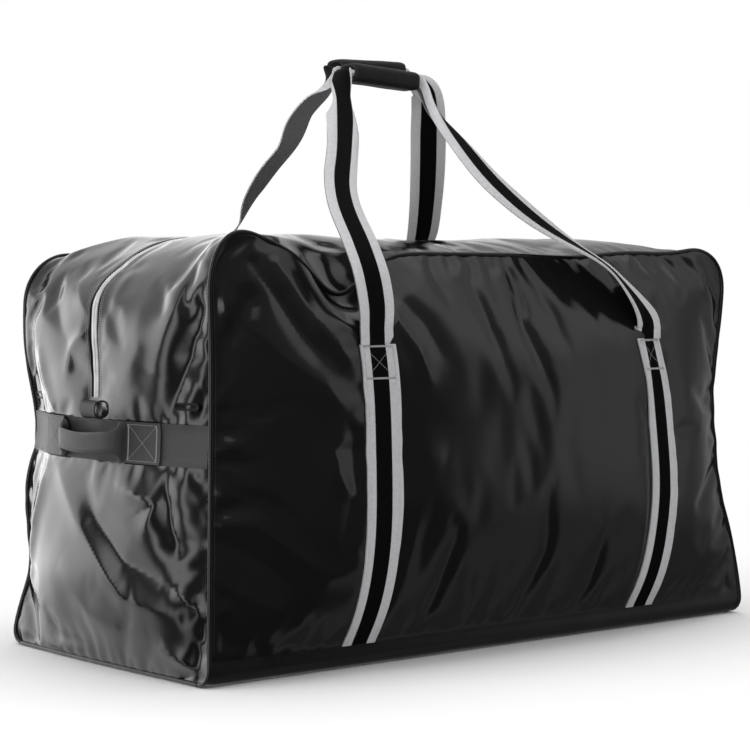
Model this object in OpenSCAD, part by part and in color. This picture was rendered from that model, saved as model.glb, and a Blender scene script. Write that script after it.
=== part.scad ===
// Ice hockey equipment bag: a long zipped holdall of coated cloth with two carry handles,
// a grab handle on each end and a stiff board in the base.
// X runs along the bag, Y from its front to its back, Z up. The origin is the middle of the base.

/* [Bag] */
// Length of the bag along its base
base_length = 940; // [800:5:1080]
// Width of the bag, front to back, along its base
base_width = 450; // [400:5:520]
// Height of the top seams above the floor
seam_height = 518; // [480:1:560]
// How far each wall leans in between the floor and the top seam
wall_lean = 17; // [0:1:25]
// Radius of the two top corners of a long panel
corner_radius = 66; // [56:1:90]
// How far a long panel bellies out
side_bulge = 60; // [20:1:70]
// How far an end bellies out
end_bulge = 22; // [6:1:26]
// How far the top rises between its two seams
top_crown = 20; // [10:1:26]
// How far the middle of a top corner sinks below its seams
corner_sag = 6; // [0:1:30]
// Length of cloth over which that sinking fades out, each way
corner_reach = 100; // [80:1:110]
// Thickness of the coated cloth
cloth = 2; // [1.4:0.1:2.6]

/* [Base] */
// Height to which the base cloth wraps up the long panels
boot_height = 32; // [30:1:70]
// Radius of the base cloth's lower long edges
boot_radius = 20; // [12:1:28]
// Thickness of the stiffening board
board_thickness = 4; // [2:0.5:8]

/* [Seams] */
// Radius of the piping cord
piping_radius = 3; // [2:0.25:4]
// Gap between neighbouring pieces
fit = 0.3; // [0.25:0.05:0.4]

/* [Zip] */
// Length of closed top from the part that opens to each top corner
flap_run = 149; // [140:1:200]
// Width of the two closed coils together
coil_width = 8.6; // [7:0.2:10]
// Height of a coil above its tape
coil_height = 2.8; // [2.2:0.1:3.4]
// Width of one tape
tape_width = 20; // [17:0.5:26]
// Thickness of a tape
tape_thickness = 1; // [0.8:0.1:1.4]
// Width of the slot in the cloth that shows the coils
zip_slot = 18; // [17:0.5:22]
// Height of the zip's lower ends above the middle of the end webbing
zip_foot = 51; // [46:1:62]
// Length of a slider
slider_length = 22; // [18:1:26]
// Length of a slider's pull, from its pin
pull_length = 34; // [24:1:38]
// Space between the part of the top that opens and a resting pull
pull_clear = 4; // [3:0.5:6]

/* [Carry handles] */
// Width of the striped webbing
strap_width = 52; // [44:1:58]
// Thickness of the webbing
strap_thickness = 2; // [1.4:0.1:2.4]
// Distance between the two straps on a long panel
strap_spacing = 500; // [420:5:540]
// Height at which a strap leaves the panel
strap_leaves = 406; // [380:1:420]
// Height of the grips above the floor
grip_height = 761; // [700:1:820]
// Length of a grip
grip_length = 113; // [104:1:140]
// Width of a grip
grip_width = 40; // [36:1:44]
// Thickness of a grip
grip_thickness = 26; // [20:1:32]
// Width of the webbing where it is folded inside a grip
folded_width = 28; // [24:1:30]
// Distance between the two grips' middles
grip_spacing = 46; // [46:1:60]
// How much higher the back grip stands than the front one
grip_step = 14; // [0:1:20]

/* [End handles] */
// Width of the plain webbing across an end
band_width = 51; // [44:1:56]
// Thickness of the plain webbing
band_thickness = 1.6; // [1.2:0.1:2]
// Height of that webbing's middle above the floor
band_height = 286; // [270:1:292]
// Length of each sewn end of a grab handle
grab_sewn = 66; // [50:1:70]
// Length of a grab handle's free middle
grab_free = 140; // [120:1:150]
// How far a grab handle stands off the band
grab_standoff = 26; // [20:1:34]

/* [Hidden] */

BLACK_VINYL = [0.09, 0.09, 0.10];
BLACK_WEBBING = [0.16, 0.16, 0.17];
GREY_WEBBING = [0.62, 0.62, 0.64];
BLACK_PLASTIC = [0.06, 0.06, 0.06];
SILVER = [0.75, 0.76, 0.78];
BOARD_GREY = [0.35, 0.36, 0.38];

inset = piping_radius + fit;            // a panel's edge, from the middle of its piping
shoulder = seam_height - corner_radius; // where the top corners begin
base_seam = piping_radius + 0.2;        // height of the piping along the foot of an end
end_fullness = 120;                     // height over which an end takes its full belly
foot_row = end_fullness / 2;            // height of an end's first row above the curve of its foot
zip_low = band_height + zip_foot;       // height of the zip's lower ends above the floor
side_x_power = 4;                       // how squarely a long panel's belly ends along X
side_z_power = 3;                       // and along Z
strap_x = strap_spacing / 2;
strap_gap = 0.6;                        // webbing above the cloth that it is sewn to
flap_gap = 0.5;                         // half of the gap at each end of a flap
coil_slit = 0.6;                        // half of the gap between the two coils

// ---------- small maths ----------

function mix(a, b, t) = a + (b - a) * t;
function smooth(t) = let (c = min(1, max(0, t))) c * c * (3 - 2 * c);
function unit(v) = v / norm(v);
function spread(a, b, steps) = [for (k = [0 : steps]) mix(a, b, k / steps)];
function flat(lists) = [for (row = lists) for (item = row) item];

// A smooth curve through points, with a few places between each two
function curve_at(p, i, t) =
    let (
        last = len(p) - 1,
        a = p[max(0, i - 1)], b = p[i], c = p[min(last, i + 1)], d = p[min(last, i + 2)]
    )
    0.5 * (2 * b + (c - a) * t + (2 * a - 5 * b + 4 * c - d) * t * t
        + (3 * b - a - 3 * c + d) * t * t * t);
function curve(p, steps) = concat(
    [for (i = [0 : len(p) - 2]) for (k = [0 : steps - 1]) curve_at(p, i, k / steps)],
    [p[len(p) - 1]]
);

// ---------- solids from points ----------

// A closed skin between two equal grids of points, the outer one and the inner one
module sheet(outer, inner) {
    rows = len(outer);
    cols = len(outer[0]);
    other = rows * cols;
    points = concat(flat(outer), flat(inner));
    quads = [for (i = [0 : rows - 2]) for (j = [0 : cols - 2]) [i * cols + j, i * cols + j + 1,
        (i + 1) * cols + j + 1, (i + 1) * cols + j]];
    skins = [for (q = quads) for (t = [[q[0], q[1], q[2]], [q[0], q[2], q[3]]]) t];
    backs = [for (t = skins) [other + t[2], other + t[1], other + t[0]]];
    rim = concat(
        [for (j = [0 : cols - 1]) j],
        [for (i = [1 : rows - 1]) i * cols + cols - 1],
        [for (j = [cols - 2 : -1 : 0]) (rows - 1) * cols + j],
        [for (i = [rows - 2 : -1 : 1]) i * cols]
    );
    walls = [for (k = [0 : len(rim) - 1]) let (a = rim[k], b = rim[(k + 1) % len(rim)])
        for (t = [[a, other + a, other + b], [a, other + b, b]]) t];
    polyhedron(points, concat(skins, backs, walls));
}

// A solid swept through equal rings of points, closed at both ends
module rings(list) {
    sides = len(list[0]);
    last = len(list) - 1;
    walls = [for (i = [0 : last - 1]) for (j = [0 : sides - 1])
        let (a = i * sides + j, b = i * sides + (j + 1) % sides)
        for (t = [[a, a + sides, b + sides], [a, b + sides, b]]) t];
    first_cap = [for (j = [0 : sides - 1]) j];
    last_cap = [for (j = [sides - 1 : -1 : 0]) last * sides + j];
    polyhedron(flat(list), concat(walls, [first_cap, last_cap]));
}

// A round cord along points
module tube(path, radius, sides = 8) {
    last = len(path) - 1;
    rings([for (i = [0 : last])
        let (
            along = unit(path[min(last, i + 1)] - path[max(0, i - 1)]),
            side = unit(cross(along, abs(along[1]) > 0.9 ? [1, 0, 0] : [0, 1, 0])),
            up = cross(along, side)
        )
        [for (k = [0 : sides - 1]) path[i]
            + radius * (cos(360 * k / sides) * side + sin(360 * k / sides) * up)]]);
}

// ---------- the bag's shape ----------

function half_length(z) = base_length / 2 - wall_lean * z / seam_height;
function half_width(z) = base_width / 2 - wall_lean * z / seam_height;

// Half-length of a long panel at height z, inside its piping
function panel_half(z) = z <= shoulder
    ? half_length(z) - inset
    : half_length(shoulder) - corner_radius
        + sqrt(max(0, pow(corner_radius - inset, 2) - pow(z - shoulder, 2)));

// A point of a long panel at x and z, raised by d from its face
function side_point(x, z, d) =
    let (
        middle = (boot_height + seam_height) / 2,
        u = abs(x) / panel_half(z),
        v = abs(z - middle) / (seam_height - middle),
        belly = side_bulge * (1 - pow(min(1, u), side_x_power)) * (1 - pow(min(1, v), side_z_power))
    )
    [x, -half_width(z) - belly - d, z];

strap_top = strap_leaves - 1.4; // where the sewn part of a strap ends
panel_rows = concat(
    spread(boot_height + fit, strap_top, 17),
    [mix(strap_top, shoulder, 0.5), shoulder],
    [for (angle = [15 : 15 : 90]) shoulder + (corner_radius - inset) * sin(angle)]
);
strap_rows = [for (z = panel_rows) if (z <= strap_top + 0.01) z];

// Half-width of an end at height z, a given distance inside the piping around its foot
foot_centre = base_seam + boot_radius;
function foot_half(z, inside) = z >= foot_centre
    ? half_width(z) - inside
    : half_width(foot_centre) - boot_radius
        + sqrt(max(0, pow(boot_radius - inside, 2) - pow(foot_centre - z, 2)));

// The strip over the ends and the top is a row of stations. Each station is its place in X and Z,
// its outward direction in X and Z, its belly, its half-width and the place of its edge.
// A belly turned into the corner's sag, at a distance along the strip from the corner's middle
half_arc = corner_radius * PI / 4;
function sagged(belly, distance) = mix(-corner_sag, belly, smooth(distance / corner_reach));
function end_station(z) =
    [-half_length(z), z, -1, 0,
        sagged(end_bulge * smooth((z - base_seam) / end_fullness), half_arc + shoulder - z),
        foot_half(z, 0), foot_half(z, inset)];
function corner_station(angle) =
    let (z = shoulder + corner_radius * sin(angle))
    [-half_length(shoulder) + corner_radius * (1 - cos(angle)), z, -cos(angle), sin(angle),
        sagged(mix(end_bulge, top_crown, smooth(angle / 90)), half_arc * abs(angle - 45) / 45),
        half_width(z), half_width(z) - inset];
top_half = half_length(shoulder) - corner_radius;
flap_half = top_half - flap_run;
function top_station(x) = [x, seam_height, 0, 1,
    sagged(top_crown, half_arc + top_half - abs(x)), half_width(seam_height),
    half_width(seam_height) - inset];
function on_station(s, y, d) =
    let (rise = s[4] * (1 - pow(y / s[5], 2)) + d)
    [s[0] + s[2] * rise, y, s[1] + s[3] * rise];

foot_stations = [for (z = concat(
    [for (angle = [90 : -22.5 : 0]) foot_centre - (boot_radius - inset) * sin(angle)],
    spread(foot_row, band_height - band_width / 2, 6),
    [band_height - 0.25]
)) end_station(z)];
band_stations = [for (k = [-1 : 0.5 : 1]) end_station(band_height + k * band_width / 2)];
track_stations = concat(
    [for (z = spread(zip_low, shoulder, 4)) if (z > zip_low && z < shoulder) end_station(z)],
    [for (angle = [0 : 15 : 75]) corner_station(angle)],
    [for (k = [0 : 3]) top_station(-top_half + k * (corner_reach - half_arc) / 3)],
    [top_station(-flap_half - flap_gap)]
);
gusset_stations = concat(
    [end_station(band_height + 0.25), end_station(band_height + band_width / 2),
        end_station(zip_low)],
    track_stations
);

// A piece of the strip: y_from and y_to give its edges at a station
module strip(stations, y_from, y_to, d_low, d_high, columns) {
    grid = function (d) [for (s = stations)
        [for (y = spread(y_from(s), y_to(s), columns)) on_station(s, y, d)]];
    sheet(grid(d_high), grid(d_low));
}

front_edge = function (s) -s[6];
back_edge = function (s) s[6];
function at_y(y) = function (s) y;

module mirrored_x() { mirror([1, 0, 0]) children(); }
module mirrored_y() { mirror([0, 1, 0]) children(); }

// ---------- long panels, ends, base ----------

module front_panel() {
    grid = function (d) [for (z = panel_rows)
        [for (u = spread(1, -1, 30)) side_point(u * panel_half(z), z, d)]];
    color(BLACK_VINYL) sheet(grid(0), grid(-cloth));
}

module left_end_panel() {
    color(BLACK_VINYL) strip(foot_stations, front_edge, back_edge, -cloth, 0, 16);
}

vent_y = base_width / 2 - 45;  // middle of a vent, from the bag's middle
vent_z = zip_low - 4;
vent_length = 40;
vent_height = 10;
vent_slot = [26, 4.6];
vent_tilt = atan(2 * end_bulge * vent_y / pow(half_width(vent_z), 2));
end_lean = atan(wall_lean / seam_height);

// Places something made flat on the left end at the front vent
module at_vent() {
    place = on_station(end_station(vent_z), -vent_y, 0);
    translate(place) rotate([0, end_lean - 90, 0]) rotate([vent_tilt, 0, 0]) children();
}

// An oblong with round ends, long along Y
module oblong(length, height) {
    rounds = height / 2;
    square([height, length - height], center = true);
    for (side = [-1, 1]) translate([0, side * (length - height) / 2]) circle(rounds, $fn = 24);
}

module vent() {
    flange = 1.2;
    neck = cloth + 1.2;
    color(BLACK_PLASTIC) at_vent() difference() {
        union() {
            translate([0, 0, 0.5]) linear_extrude(flange) oblong(vent_length, vent_height);
            translate([0, 0, -neck]) linear_extrude(neck + 1)
                oblong(vent_slot[0] + 3, vent_slot[1] + 3);
        }
        translate([0, 0, -neck - 1]) linear_extrude(neck + flange + 3)
            oblong(vent_slot[0], vent_slot[1]);
    }
}

module left_vents() {
    vent();
    mirrored_y() vent();
}

module left_front_gusset() {
    color(BLACK_VINYL) difference() {
        strip(gusset_stations, front_edge, at_y(-zip_slot / 2), -cloth, 0, 8);
        at_vent() translate([0, 0, -cloth - 3]) linear_extrude(cloth + 6)
            oblong(vent_slot[0] + 4, vent_slot[1] + 4);
    }
}

// The base cloth, seen along the bag: a flat floor with both long edges turned up
module bottom_panel() {
    profile = function (inward) let (r = boot_radius - inward) concat(
        [[-half_width(boot_height) + inward, boot_height]],
        [for (angle = [0 : 15 : 90])
            [-half_width(boot_radius) + boot_radius - r * cos(angle),
                boot_radius - r * sin(angle)]]
    );
    outer = profile(0);
    inner = profile(cloth);
    reversed = function (points) [for (i = [len(points) - 1 : -1 : 0]) points[i]];
    across = function (points) [for (p = points) [-p[0], p[1]]];
    length = 2 * (half_length(boot_height) - inset);
    color(BLACK_VINYL) rotate([90, 0, 90]) linear_extrude(length, center = true)
        polygon(concat(outer, reversed(across(outer)), across(inner), reversed(inner)));
}

module bottom_board() {
    board_edge = boot_radius + cloth;
    board = [2 * (half_length(0) - inset - 8), base_width - 2 * board_edge, board_thickness];
    color(BOARD_GREY) translate([-board[0] / 2, -board[1] / 2, cloth + fit]) cube(board);
}

// ---------- piping ----------

foot_x = half_length(foot_centre);
foot_y = half_width(foot_centre) - boot_radius;  // where the foot's straight run ends
module front_piping() {
    left_half = concat(
        [for (angle = [90 : -18 : 0])
            [-foot_x, -foot_y - boot_radius * cos(angle), foot_centre - boot_radius * sin(angle)]],
        [for (z = spread(foot_row, shoulder, 5)) [-half_length(z), -half_width(z), z]],
        [for (angle = [10 : 10 : 90]) let (s = corner_station(angle)) [s[0], -s[5], s[1]]]
    );
    right_half = [for (i = [len(left_half) - 1 : -1 : 0])
        [-left_half[i][0], left_half[i][1], left_half[i][2]]];
    color(BLACK_PLASTIC) tube(concat(left_half, right_half), piping_radius);
}

module left_base_piping() {
    reach = foot_y - 3 * fit;
    color(BLACK_PLASTIC) tube([for (y = [-reach, reach]) [-foot_x, y, base_seam]], piping_radius);
}

// ---------- zip ----------

tape_top = -cloth - 0.2;
coil_base = tape_top + 0.1;
coil_top = coil_base + coil_height;
tape_foot = band_height + band_width / 2 - 8;

module left_zip_tape() {
    stations = concat([end_station(tape_foot), end_station(zip_low)], track_stations);
    color(BLACK_WEBBING) {
        strip(stations, at_y(-tape_width), at_y(-coil_slit), tape_top - tape_thickness, tape_top, 2);
        mirrored_y() strip(stations, at_y(-tape_width), at_y(-coil_slit),
            tape_top - tape_thickness, tape_top, 2);
    }
}

module left_zip_coil() {
    stations = concat([end_station(zip_low)], track_stations);
    color(SILVER) {
        strip(stations, at_y(-coil_width / 2), at_y(-coil_slit), coil_base, coil_top, 1);
        mirrored_y() strip(stations, at_y(-coil_width / 2), at_y(-coil_slit),
            coil_base, coil_top, 1);
    }
}

flap_stations = [for (x = spread(-flap_half + flap_gap, flap_half - flap_gap, 2)) top_station(x)];

module front_flap() {
    color(BLACK_VINYL) strip(flap_stations, front_edge, at_y(-zip_slot / 2), -cloth, 0, 12);
}
module front_flap_tape() {
    color(BLACK_WEBBING) strip(flap_stations, at_y(-tape_width), at_y(-coil_slit),
        tape_top - tape_thickness, tape_top, 2);
}
module front_flap_coil() {
    color(SILVER) strip(flap_stations, at_y(-coil_width / 2), at_y(-coil_slit),
        coil_base, coil_top, 1);
}

// The webbing loop at the foot of the zip, to hold while it is drawn
module left_zip_tab() {
    tab_width = 40;
    tab_wall = 1.6;
    reach = 6.5;
    foot = band_height + band_width / 2 + fit;
    rise = (zip_low - fit - foot) / 2;
    stand = on_station(end_station(foot), 0, 0.4)[0];
    ring = function (inward) [for (angle = [0 : 15 : 345])
        [(reach - inward) * cos(angle), (rise - inward) * sin(angle)]];
    color(BLACK_WEBBING) translate([stand - reach, 0, foot + rise]) rotate([90, 0, 0])
        linear_extrude(tab_width, center = true) difference() {
            polygon(ring(0));
            polygon(ring(tab_wall));
        }
}

// ---------- sliders ----------

slider_plate = 1.2;
slider_width = zip_slot - 4;
track_z = seam_height + top_crown;       // the cloth's face beside the coils
slider_roof = track_z + coil_top + 0.4;  // underside of a slider's upper plate
slider_floor = track_z + tape_top - tape_thickness - 0.4;
pin_z = slider_roof + slider_plate + 1.3;
pin_radius = 1;

// One slider at x = 0, its open nose towards +X
module slider() {
    half = slider_length / 2;
    flange = 1.2;
    bridge = [10, 4, 3.7];
    arch = [8, 6, 2.7];
    color(SILVER) {
        translate([-half, -slider_width / 2, slider_roof])
            cube([slider_length, slider_width, slider_plate]);
        for (side = [-1, 1])
            translate([-half, side * (slider_width / 2 - flange / 2) - flange / 2,
                track_z + tape_top + 0.3])
                cube([slider_length, flange, coil_height + 0.3]);
        translate([half - 4, -0.35, slider_floor]) cube([3, 0.7, slider_roof - slider_floor]);
        translate([-half, -slider_width / 2, slider_floor - slider_plate])
            cube([slider_length, slider_width, slider_plate]);
        translate([0, 0, slider_roof + slider_plate]) difference() {
            translate([-bridge[0] / 2, -bridge[1] / 2, 0]) cube(bridge);
            translate([-arch[0] / 2, -arch[1] / 2, 0]) cube(arch);
        }
    }
}

// A slider's pull lying flat towards -X from its pin at x = 0
module pull() {
    arm = 1.6;
    span = 6.4;
    plate = [pull_length - 9, 9, 1.5];
    color(SILVER) translate([0, 0, pin_z]) {
        rotate([90, 0, 0]) cylinder(r = pin_radius, h = span + 2 * arm, center = true, $fn = 24);
        for (side = [-1, 1])
            translate([-10, side * (span + arm) / 2 - arm / 2, -0.75]) cube([10, arm, 1.5]);
        translate([-9 - plate[0], 0, -0.75]) difference() {
            union() {
                translate([plate[1] / 2, -plate[1] / 2, 0])
                    cube([plate[0] - plate[1] / 2, plate[1], plate[2]]);
                translate([plate[1] / 2, 0, 0]) cylinder(d = plate[1], h = plate[2], $fn = 32);
            }
            translate([plate[1] / 2, 0, -1]) cylinder(d = 4, h = plate[2] + 2, $fn = 24);
        }
    }
}

// The two sliders meet nose to nose, past the part of the top that opens
left_slider_x = flap_half + pull_clear + pull_length;
right_slider_x = left_slider_x + slider_length + 2;
module left_slider() { translate([left_slider_x, 0, 0]) slider(); }
module right_slider() { translate([right_slider_x, 0, 0]) mirrored_x() slider(); }
module left_slider_pull() { translate([left_slider_x, 0, 0]) pull(); }
module right_slider_pull() { translate([right_slider_x, 0, 0]) mirrored_x() pull(); }

// ---------- end webbing and grab handles ----------

band_gap = 0.4;
band_top = band_gap + band_thickness;
module left_band() {
    color(BLACK_WEBBING) strip(band_stations, front_edge, back_edge, band_gap, band_top, 16);
}

grab_gap = 0.2;
grab_start = grab_free / 2;
module left_grab_ends() {
    low = band_top + grab_gap;
    color(BLACK_WEBBING) {
        strip(band_stations, at_y(-grab_start - grab_sewn), at_y(-grab_start), low,
            low + band_thickness, 3);
        mirrored_y() strip(band_stations, at_y(-grab_start - grab_sewn), at_y(-grab_start), low,
            low + band_thickness, 3);
    }
}

// The free middle: it leaves the band flat and wide, and is folded narrow where it is held
module left_grab_grip() {
    folded = 0.62;
    station = end_station(band_height);
    low = band_top + grab_gap;
    reach = grab_start - fit;
    wide = band_width - 10;
    color(BLACK_WEBBING) rings([for (k = [0 : 16])
        let (
            t = k / 16,
            y = mix(-reach, reach, t),
            arch = pow(sin(180 * t), 0.5),
            near = on_station(station, y, low + 2 * fit + arch * (grab_standoff - low)),
            fold = smooth(min(t, 1 - t) * 4),
            half = mix(wide, wide * folded, fold) / 2,
            thick = mix(band_thickness, 2.6 * band_thickness, fold)
        )
        [
            [near[0] - thick, y, band_height - half], [near[0] - thick, y, band_height + half],
            [near[0], y, band_height + half], [near[0], y, band_height - half]
        ]]);
}

// ---------- carry straps and handles ----------

// The part of a strap that is sewn to the front panel
module front_left_strap() {
    grid = function (d) [for (z = strap_rows)
        [for (x = spread(strap_width / 2, -strap_width / 2, 2)) side_point(x - strap_x, z, d)]];
    color(GREY_WEBBING) sheet(grid(strap_gap + strap_thickness), grid(strap_gap));
}

// A handle hangs clear of the fullest part of the panel that its webbing crosses
strap_inner = strap_x - strap_width / 2;
strap_y = -side_point(strap_inner, strap_leaves, strap_gap + strap_thickness / 2 + fit)[1];
grip_y = grip_spacing / 2;
lean_starts = seam_height - 12;  // where a handle starts to lean over the bag
lean_softness = 12;

// How far from the middle of the bag a handle is at height z
function handle_y(z) =
    let (
        ramp = lean_softness * ln(1 + exp((z - lean_starts) / lean_softness)),
        full = grip_height - lean_starts
    )
    max(grip_y, strap_y - (strap_y - grip_y) * ramp / full);

// Each route runs from the sewn end to the grip, or from the grip to the sewn end. A stop on it is
// its share of half the strap spacing in X, its share of the rise to the grip in Z, how far the
// webbing has turned in degrees, how far it is folded, from 0 to 1, and its stand-off as a share
// of its width.
front_left_route = [
    [-1, 0, 0, 0, 0], [-1, 0.03, 0, 0, 0], [-1, 0.06, 0, 0, 0], [-1.05, 0.14, -4, 0, 0],
    [-1.03, 0.25, -5, 0, 0], [-0.99, 0.35, -4, 0.04, 0], [-0.955, 0.47, 0, 0.05, 0],
    [-0.88, 0.57, 9, 0.05, 0], [-0.745, 0.68, 13, 0.08, 0], [-0.585, 0.82, -2, 0.25, 0],
    [-0.49, 0.92, -31, 0.8, 0]
];
front_right_route = [
    [0.124, 0.95, -48, 0.93, 0], [0.12, 0.87, -18, 0.5, 0], [0.155, 0.74, -4, 0.2, 0],
    [0.21, 0.59, -2, 0.08, 0], [0.364, 0.43, -8, 0, 0], [0.655, 0.29, -27, 0, 0],
    [0.81, 0.2, -28, 0, 0], [0.935, 0.12, -17, 0, 0], [1, 0.06, 0, 0, 0], [1, 0.03, 0, 0, 0],
    [1, 0, 0, 0, 0]
];
back_left_route = [
    [-1, 0, 0, 0, 0], [-1, 0.03, 0, 0, 0], [-1, 0.06, 0, 0, 0], [-0.94, 0.13, 0, 0, 0],
    [-0.82, 0.21, -8, 0, 0], [-0.61, 0.3, -22, 0, 0], [-0.44, 0.4, -38, 0, 0],
    [-0.41, 0.48, -44, 0, 0], [-0.43, 0.56, -27, 0, 0], [-0.416, 0.66, -19, 0, 0],
    [-0.375, 0.76, -19, 0.03, 0], [-0.36, 0.87, -24, 0.15, 0], [-0.34, 0.96, -65, 0.8, 0]
];
// This leg turns half over behind the bag, so it shows its other face above it
back_right_route = [
    [0.27, 1.01, -135, 0.7, 0], [0.42, 0.96, -180, 0.25, 0], [0.589, 0.82, -202, 0.1, 0],
    [0.75, 0.68, -202, 0.08, 0], [0.91, 0.53, -191, 0.05, 0], [1.025, 0.4, -184, 0, 0],
    [1.04, 0.33, -163, 0, 0.06], [1.01, 0.26, -130, 0, 0.14], [1, 0.19, -86, 0, 0.23],
    [1, 0.12, -42, 0, 0.2], [1, 0.06, -14, 0, 0.11], [1, 0.03, 0, 0, 0.03], [1, 0, 0, 0, 0]
];

// A grip's two ends in X and Z: its middle is shifted along the bag and one end is lower
function grip_ends(shift, height, drop) = [
    [shift - grip_length / 2, height + drop / 2],
    [shift + grip_length / 2, height - drop / 2]
];
front_grip_ends = grip_ends(-35, grip_height, 6);
back_grip_ends = grip_ends(-20, grip_height + grip_step, -3);
grip_lead = 5;  // step of the webbing's straight run past each end of its grip

// The stops of a whole handle: place, turn and fold
function handle_path(left, grip, right) =
    let (
        along = unit(grip[1] - grip[0]) * grip_lead,
        level = function (end) [end[0], -grip_y, end[1], -90, 1],
        route = function (list) [for (p = list)
            let (z = mix(strap_leaves, grip_height, p[1]))
            [p[0] * strap_x, -handle_y(z) - p[4] * strap_width, z, p[2], p[3]]]
    )
    curve(concat(
        route(left),
        [for (end = [grip[0] - 2 * along, grip[0] - along]) level(end)],
        [for (end = spread(grip[0], grip[1], 4)) level(end)],
        [for (end = [grip[1] + along, grip[1] + 2 * along]) level(end)],
        route(right)
    ), 3);

// A handle on the front side: flat webbing that turns on its way up and is folded in its grip
module handle_webbing(left, grip, right) {
    path = handle_path(left, grip, right);
    last = len(path) - 1;
    spot = function (i) let (p = path[min(last, max(0, i))]) [p[0], p[1], p[2]];
    color(GREY_WEBBING) rings([for (i = [0 : last])
        let (
            here = spot(i),
            along = unit(spot(i + 1) - spot(i - 1)),
            turn = path[i][3],
            fold = path[i][4],
            lean = [0, -1, (1 - fold) * (handle_y(here[2] - 1) - handle_y(here[2] + 1)) / 2],
            face = unit(lean - (lean * along) * along),
            out = face * cos(turn) + cross(along, face) * sin(turn),
            across = cross(out, along),
            half = mix(strap_width, folded_width, fold) / 2,
            thick = mix(strap_thickness, 2 * strap_thickness, fold) / 2
        )
        [
            here - half * across - thick * out, here + half * across - thick * out,
            here + half * across + thick * out, here - half * across + thick * out
        ]]);
}

// A padded sleeve around the folded webbing
module handle_grip(grip) {
    run = grip[1] - grip[0];
    slot_length = folded_width + 2 * strap_thickness;
    slot_height = 2 * strap_thickness + 1.6;
    color(BLACK_WEBBING) translate([grip[0][0], -grip_y, grip[0][1]])
        rotate([0, 90 - atan2(run[1], run[0]), 0]) difference() {
            linear_extrude(norm(run)) oblong(grip_width, grip_thickness);
            translate([0, 0, -1]) linear_extrude(norm(run) + 2) oblong(slot_length, slot_height);
        }
}

front_panel();
mirrored_y() front_panel();  // back_panel
bottom_panel();
bottom_board();
left_end_panel();
mirrored_x() left_end_panel();  // right_end_panel
left_front_gusset();
mirrored_y() left_front_gusset();  // left_back_gusset
mirrored_x() left_front_gusset();  // right_front_gusset
mirrored_x() mirrored_y() left_front_gusset();  // right_back_gusset
front_flap();
mirrored_y() front_flap();  // back_flap
front_piping();
mirrored_y() front_piping();  // back_piping
left_base_piping();
mirrored_x() left_base_piping();  // right_base_piping
left_zip_tape();
mirrored_x() left_zip_tape();  // right_zip_tape
left_zip_coil();
mirrored_x() left_zip_coil();  // right_zip_coil
front_flap_tape();
mirrored_y() front_flap_tape();  // back_flap_tape
front_flap_coil();
mirrored_y() front_flap_coil();  // back_flap_coil
left_zip_tab();
mirrored_x() left_zip_tab();  // right_zip_tab
left_slider();
right_slider();
left_slider_pull();
right_slider_pull();
left_vents();
mirrored_x() left_vents();  // right_vents
left_band();
mirrored_x() left_band();  // right_band
left_grab_ends();
mirrored_x() left_grab_ends();  // right_grab_ends
left_grab_grip();
mirrored_x() left_grab_grip();  // right_grab_grip
front_left_strap();
mirrored_x() front_left_strap();  // front_right_strap
mirrored_y() front_left_strap();  // back_left_strap
mirrored_x() mirrored_y() front_left_strap();  // back_right_strap
handle_webbing(front_left_route, front_grip_ends, front_right_route);  // front_handle_webbing
mirrored_y() handle_webbing(back_left_route, back_grip_ends, back_right_route);  // back_handle_webbing
handle_grip(front_grip_ends);  // front_handle_grip
mirrored_y() handle_grip(back_grip_ends);  // back_handle_grip
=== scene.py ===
# %% [markdown]
# # An ice hockey equipment bag
# The bag is a long soft holdall of vinyl-coated tarpaulin. A zip runs over its top and down both ends, two striped
# webbing handles rise from its long sides into padded grips, and a plain webbing band with a grab handle crosses
# each end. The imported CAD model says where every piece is. This lesson dresses it: it lets the cloth settle in a
# cloth simulation, adds folds, and then sews piping, zip, webbing and stitches onto the settled cloth.

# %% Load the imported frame
import math

import bmesh
import bpy
import numpy as np
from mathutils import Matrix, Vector
from mathutils.bvhtree import BVHTree


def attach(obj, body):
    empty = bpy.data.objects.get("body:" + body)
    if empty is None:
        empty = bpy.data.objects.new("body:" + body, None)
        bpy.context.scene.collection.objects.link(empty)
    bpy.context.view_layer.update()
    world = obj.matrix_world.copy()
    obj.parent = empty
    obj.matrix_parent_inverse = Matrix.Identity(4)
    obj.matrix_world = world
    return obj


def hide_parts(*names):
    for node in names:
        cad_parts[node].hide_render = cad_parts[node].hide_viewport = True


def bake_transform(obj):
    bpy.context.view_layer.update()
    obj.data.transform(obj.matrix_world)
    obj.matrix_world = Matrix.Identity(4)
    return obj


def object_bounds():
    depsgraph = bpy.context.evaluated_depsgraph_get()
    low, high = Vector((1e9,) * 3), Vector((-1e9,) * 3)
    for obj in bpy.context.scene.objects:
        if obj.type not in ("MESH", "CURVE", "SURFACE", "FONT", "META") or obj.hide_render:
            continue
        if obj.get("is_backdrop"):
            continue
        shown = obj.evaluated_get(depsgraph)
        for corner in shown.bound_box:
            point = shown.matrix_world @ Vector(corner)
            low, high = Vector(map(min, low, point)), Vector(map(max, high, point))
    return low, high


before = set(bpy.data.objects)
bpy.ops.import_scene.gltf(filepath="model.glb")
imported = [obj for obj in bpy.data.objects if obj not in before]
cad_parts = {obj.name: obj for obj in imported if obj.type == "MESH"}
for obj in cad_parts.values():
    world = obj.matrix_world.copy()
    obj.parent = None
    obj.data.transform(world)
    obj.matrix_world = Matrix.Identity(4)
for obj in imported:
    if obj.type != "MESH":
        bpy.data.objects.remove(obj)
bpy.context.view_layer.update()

MM = 0.001
FACES = (("front", -1), ("back", 1))  # each long side, and the sign of its Y
ENDS = (("left", -1), ("right", 1))   # each end, and the sign of its X
scene = bpy.context.scene

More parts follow.
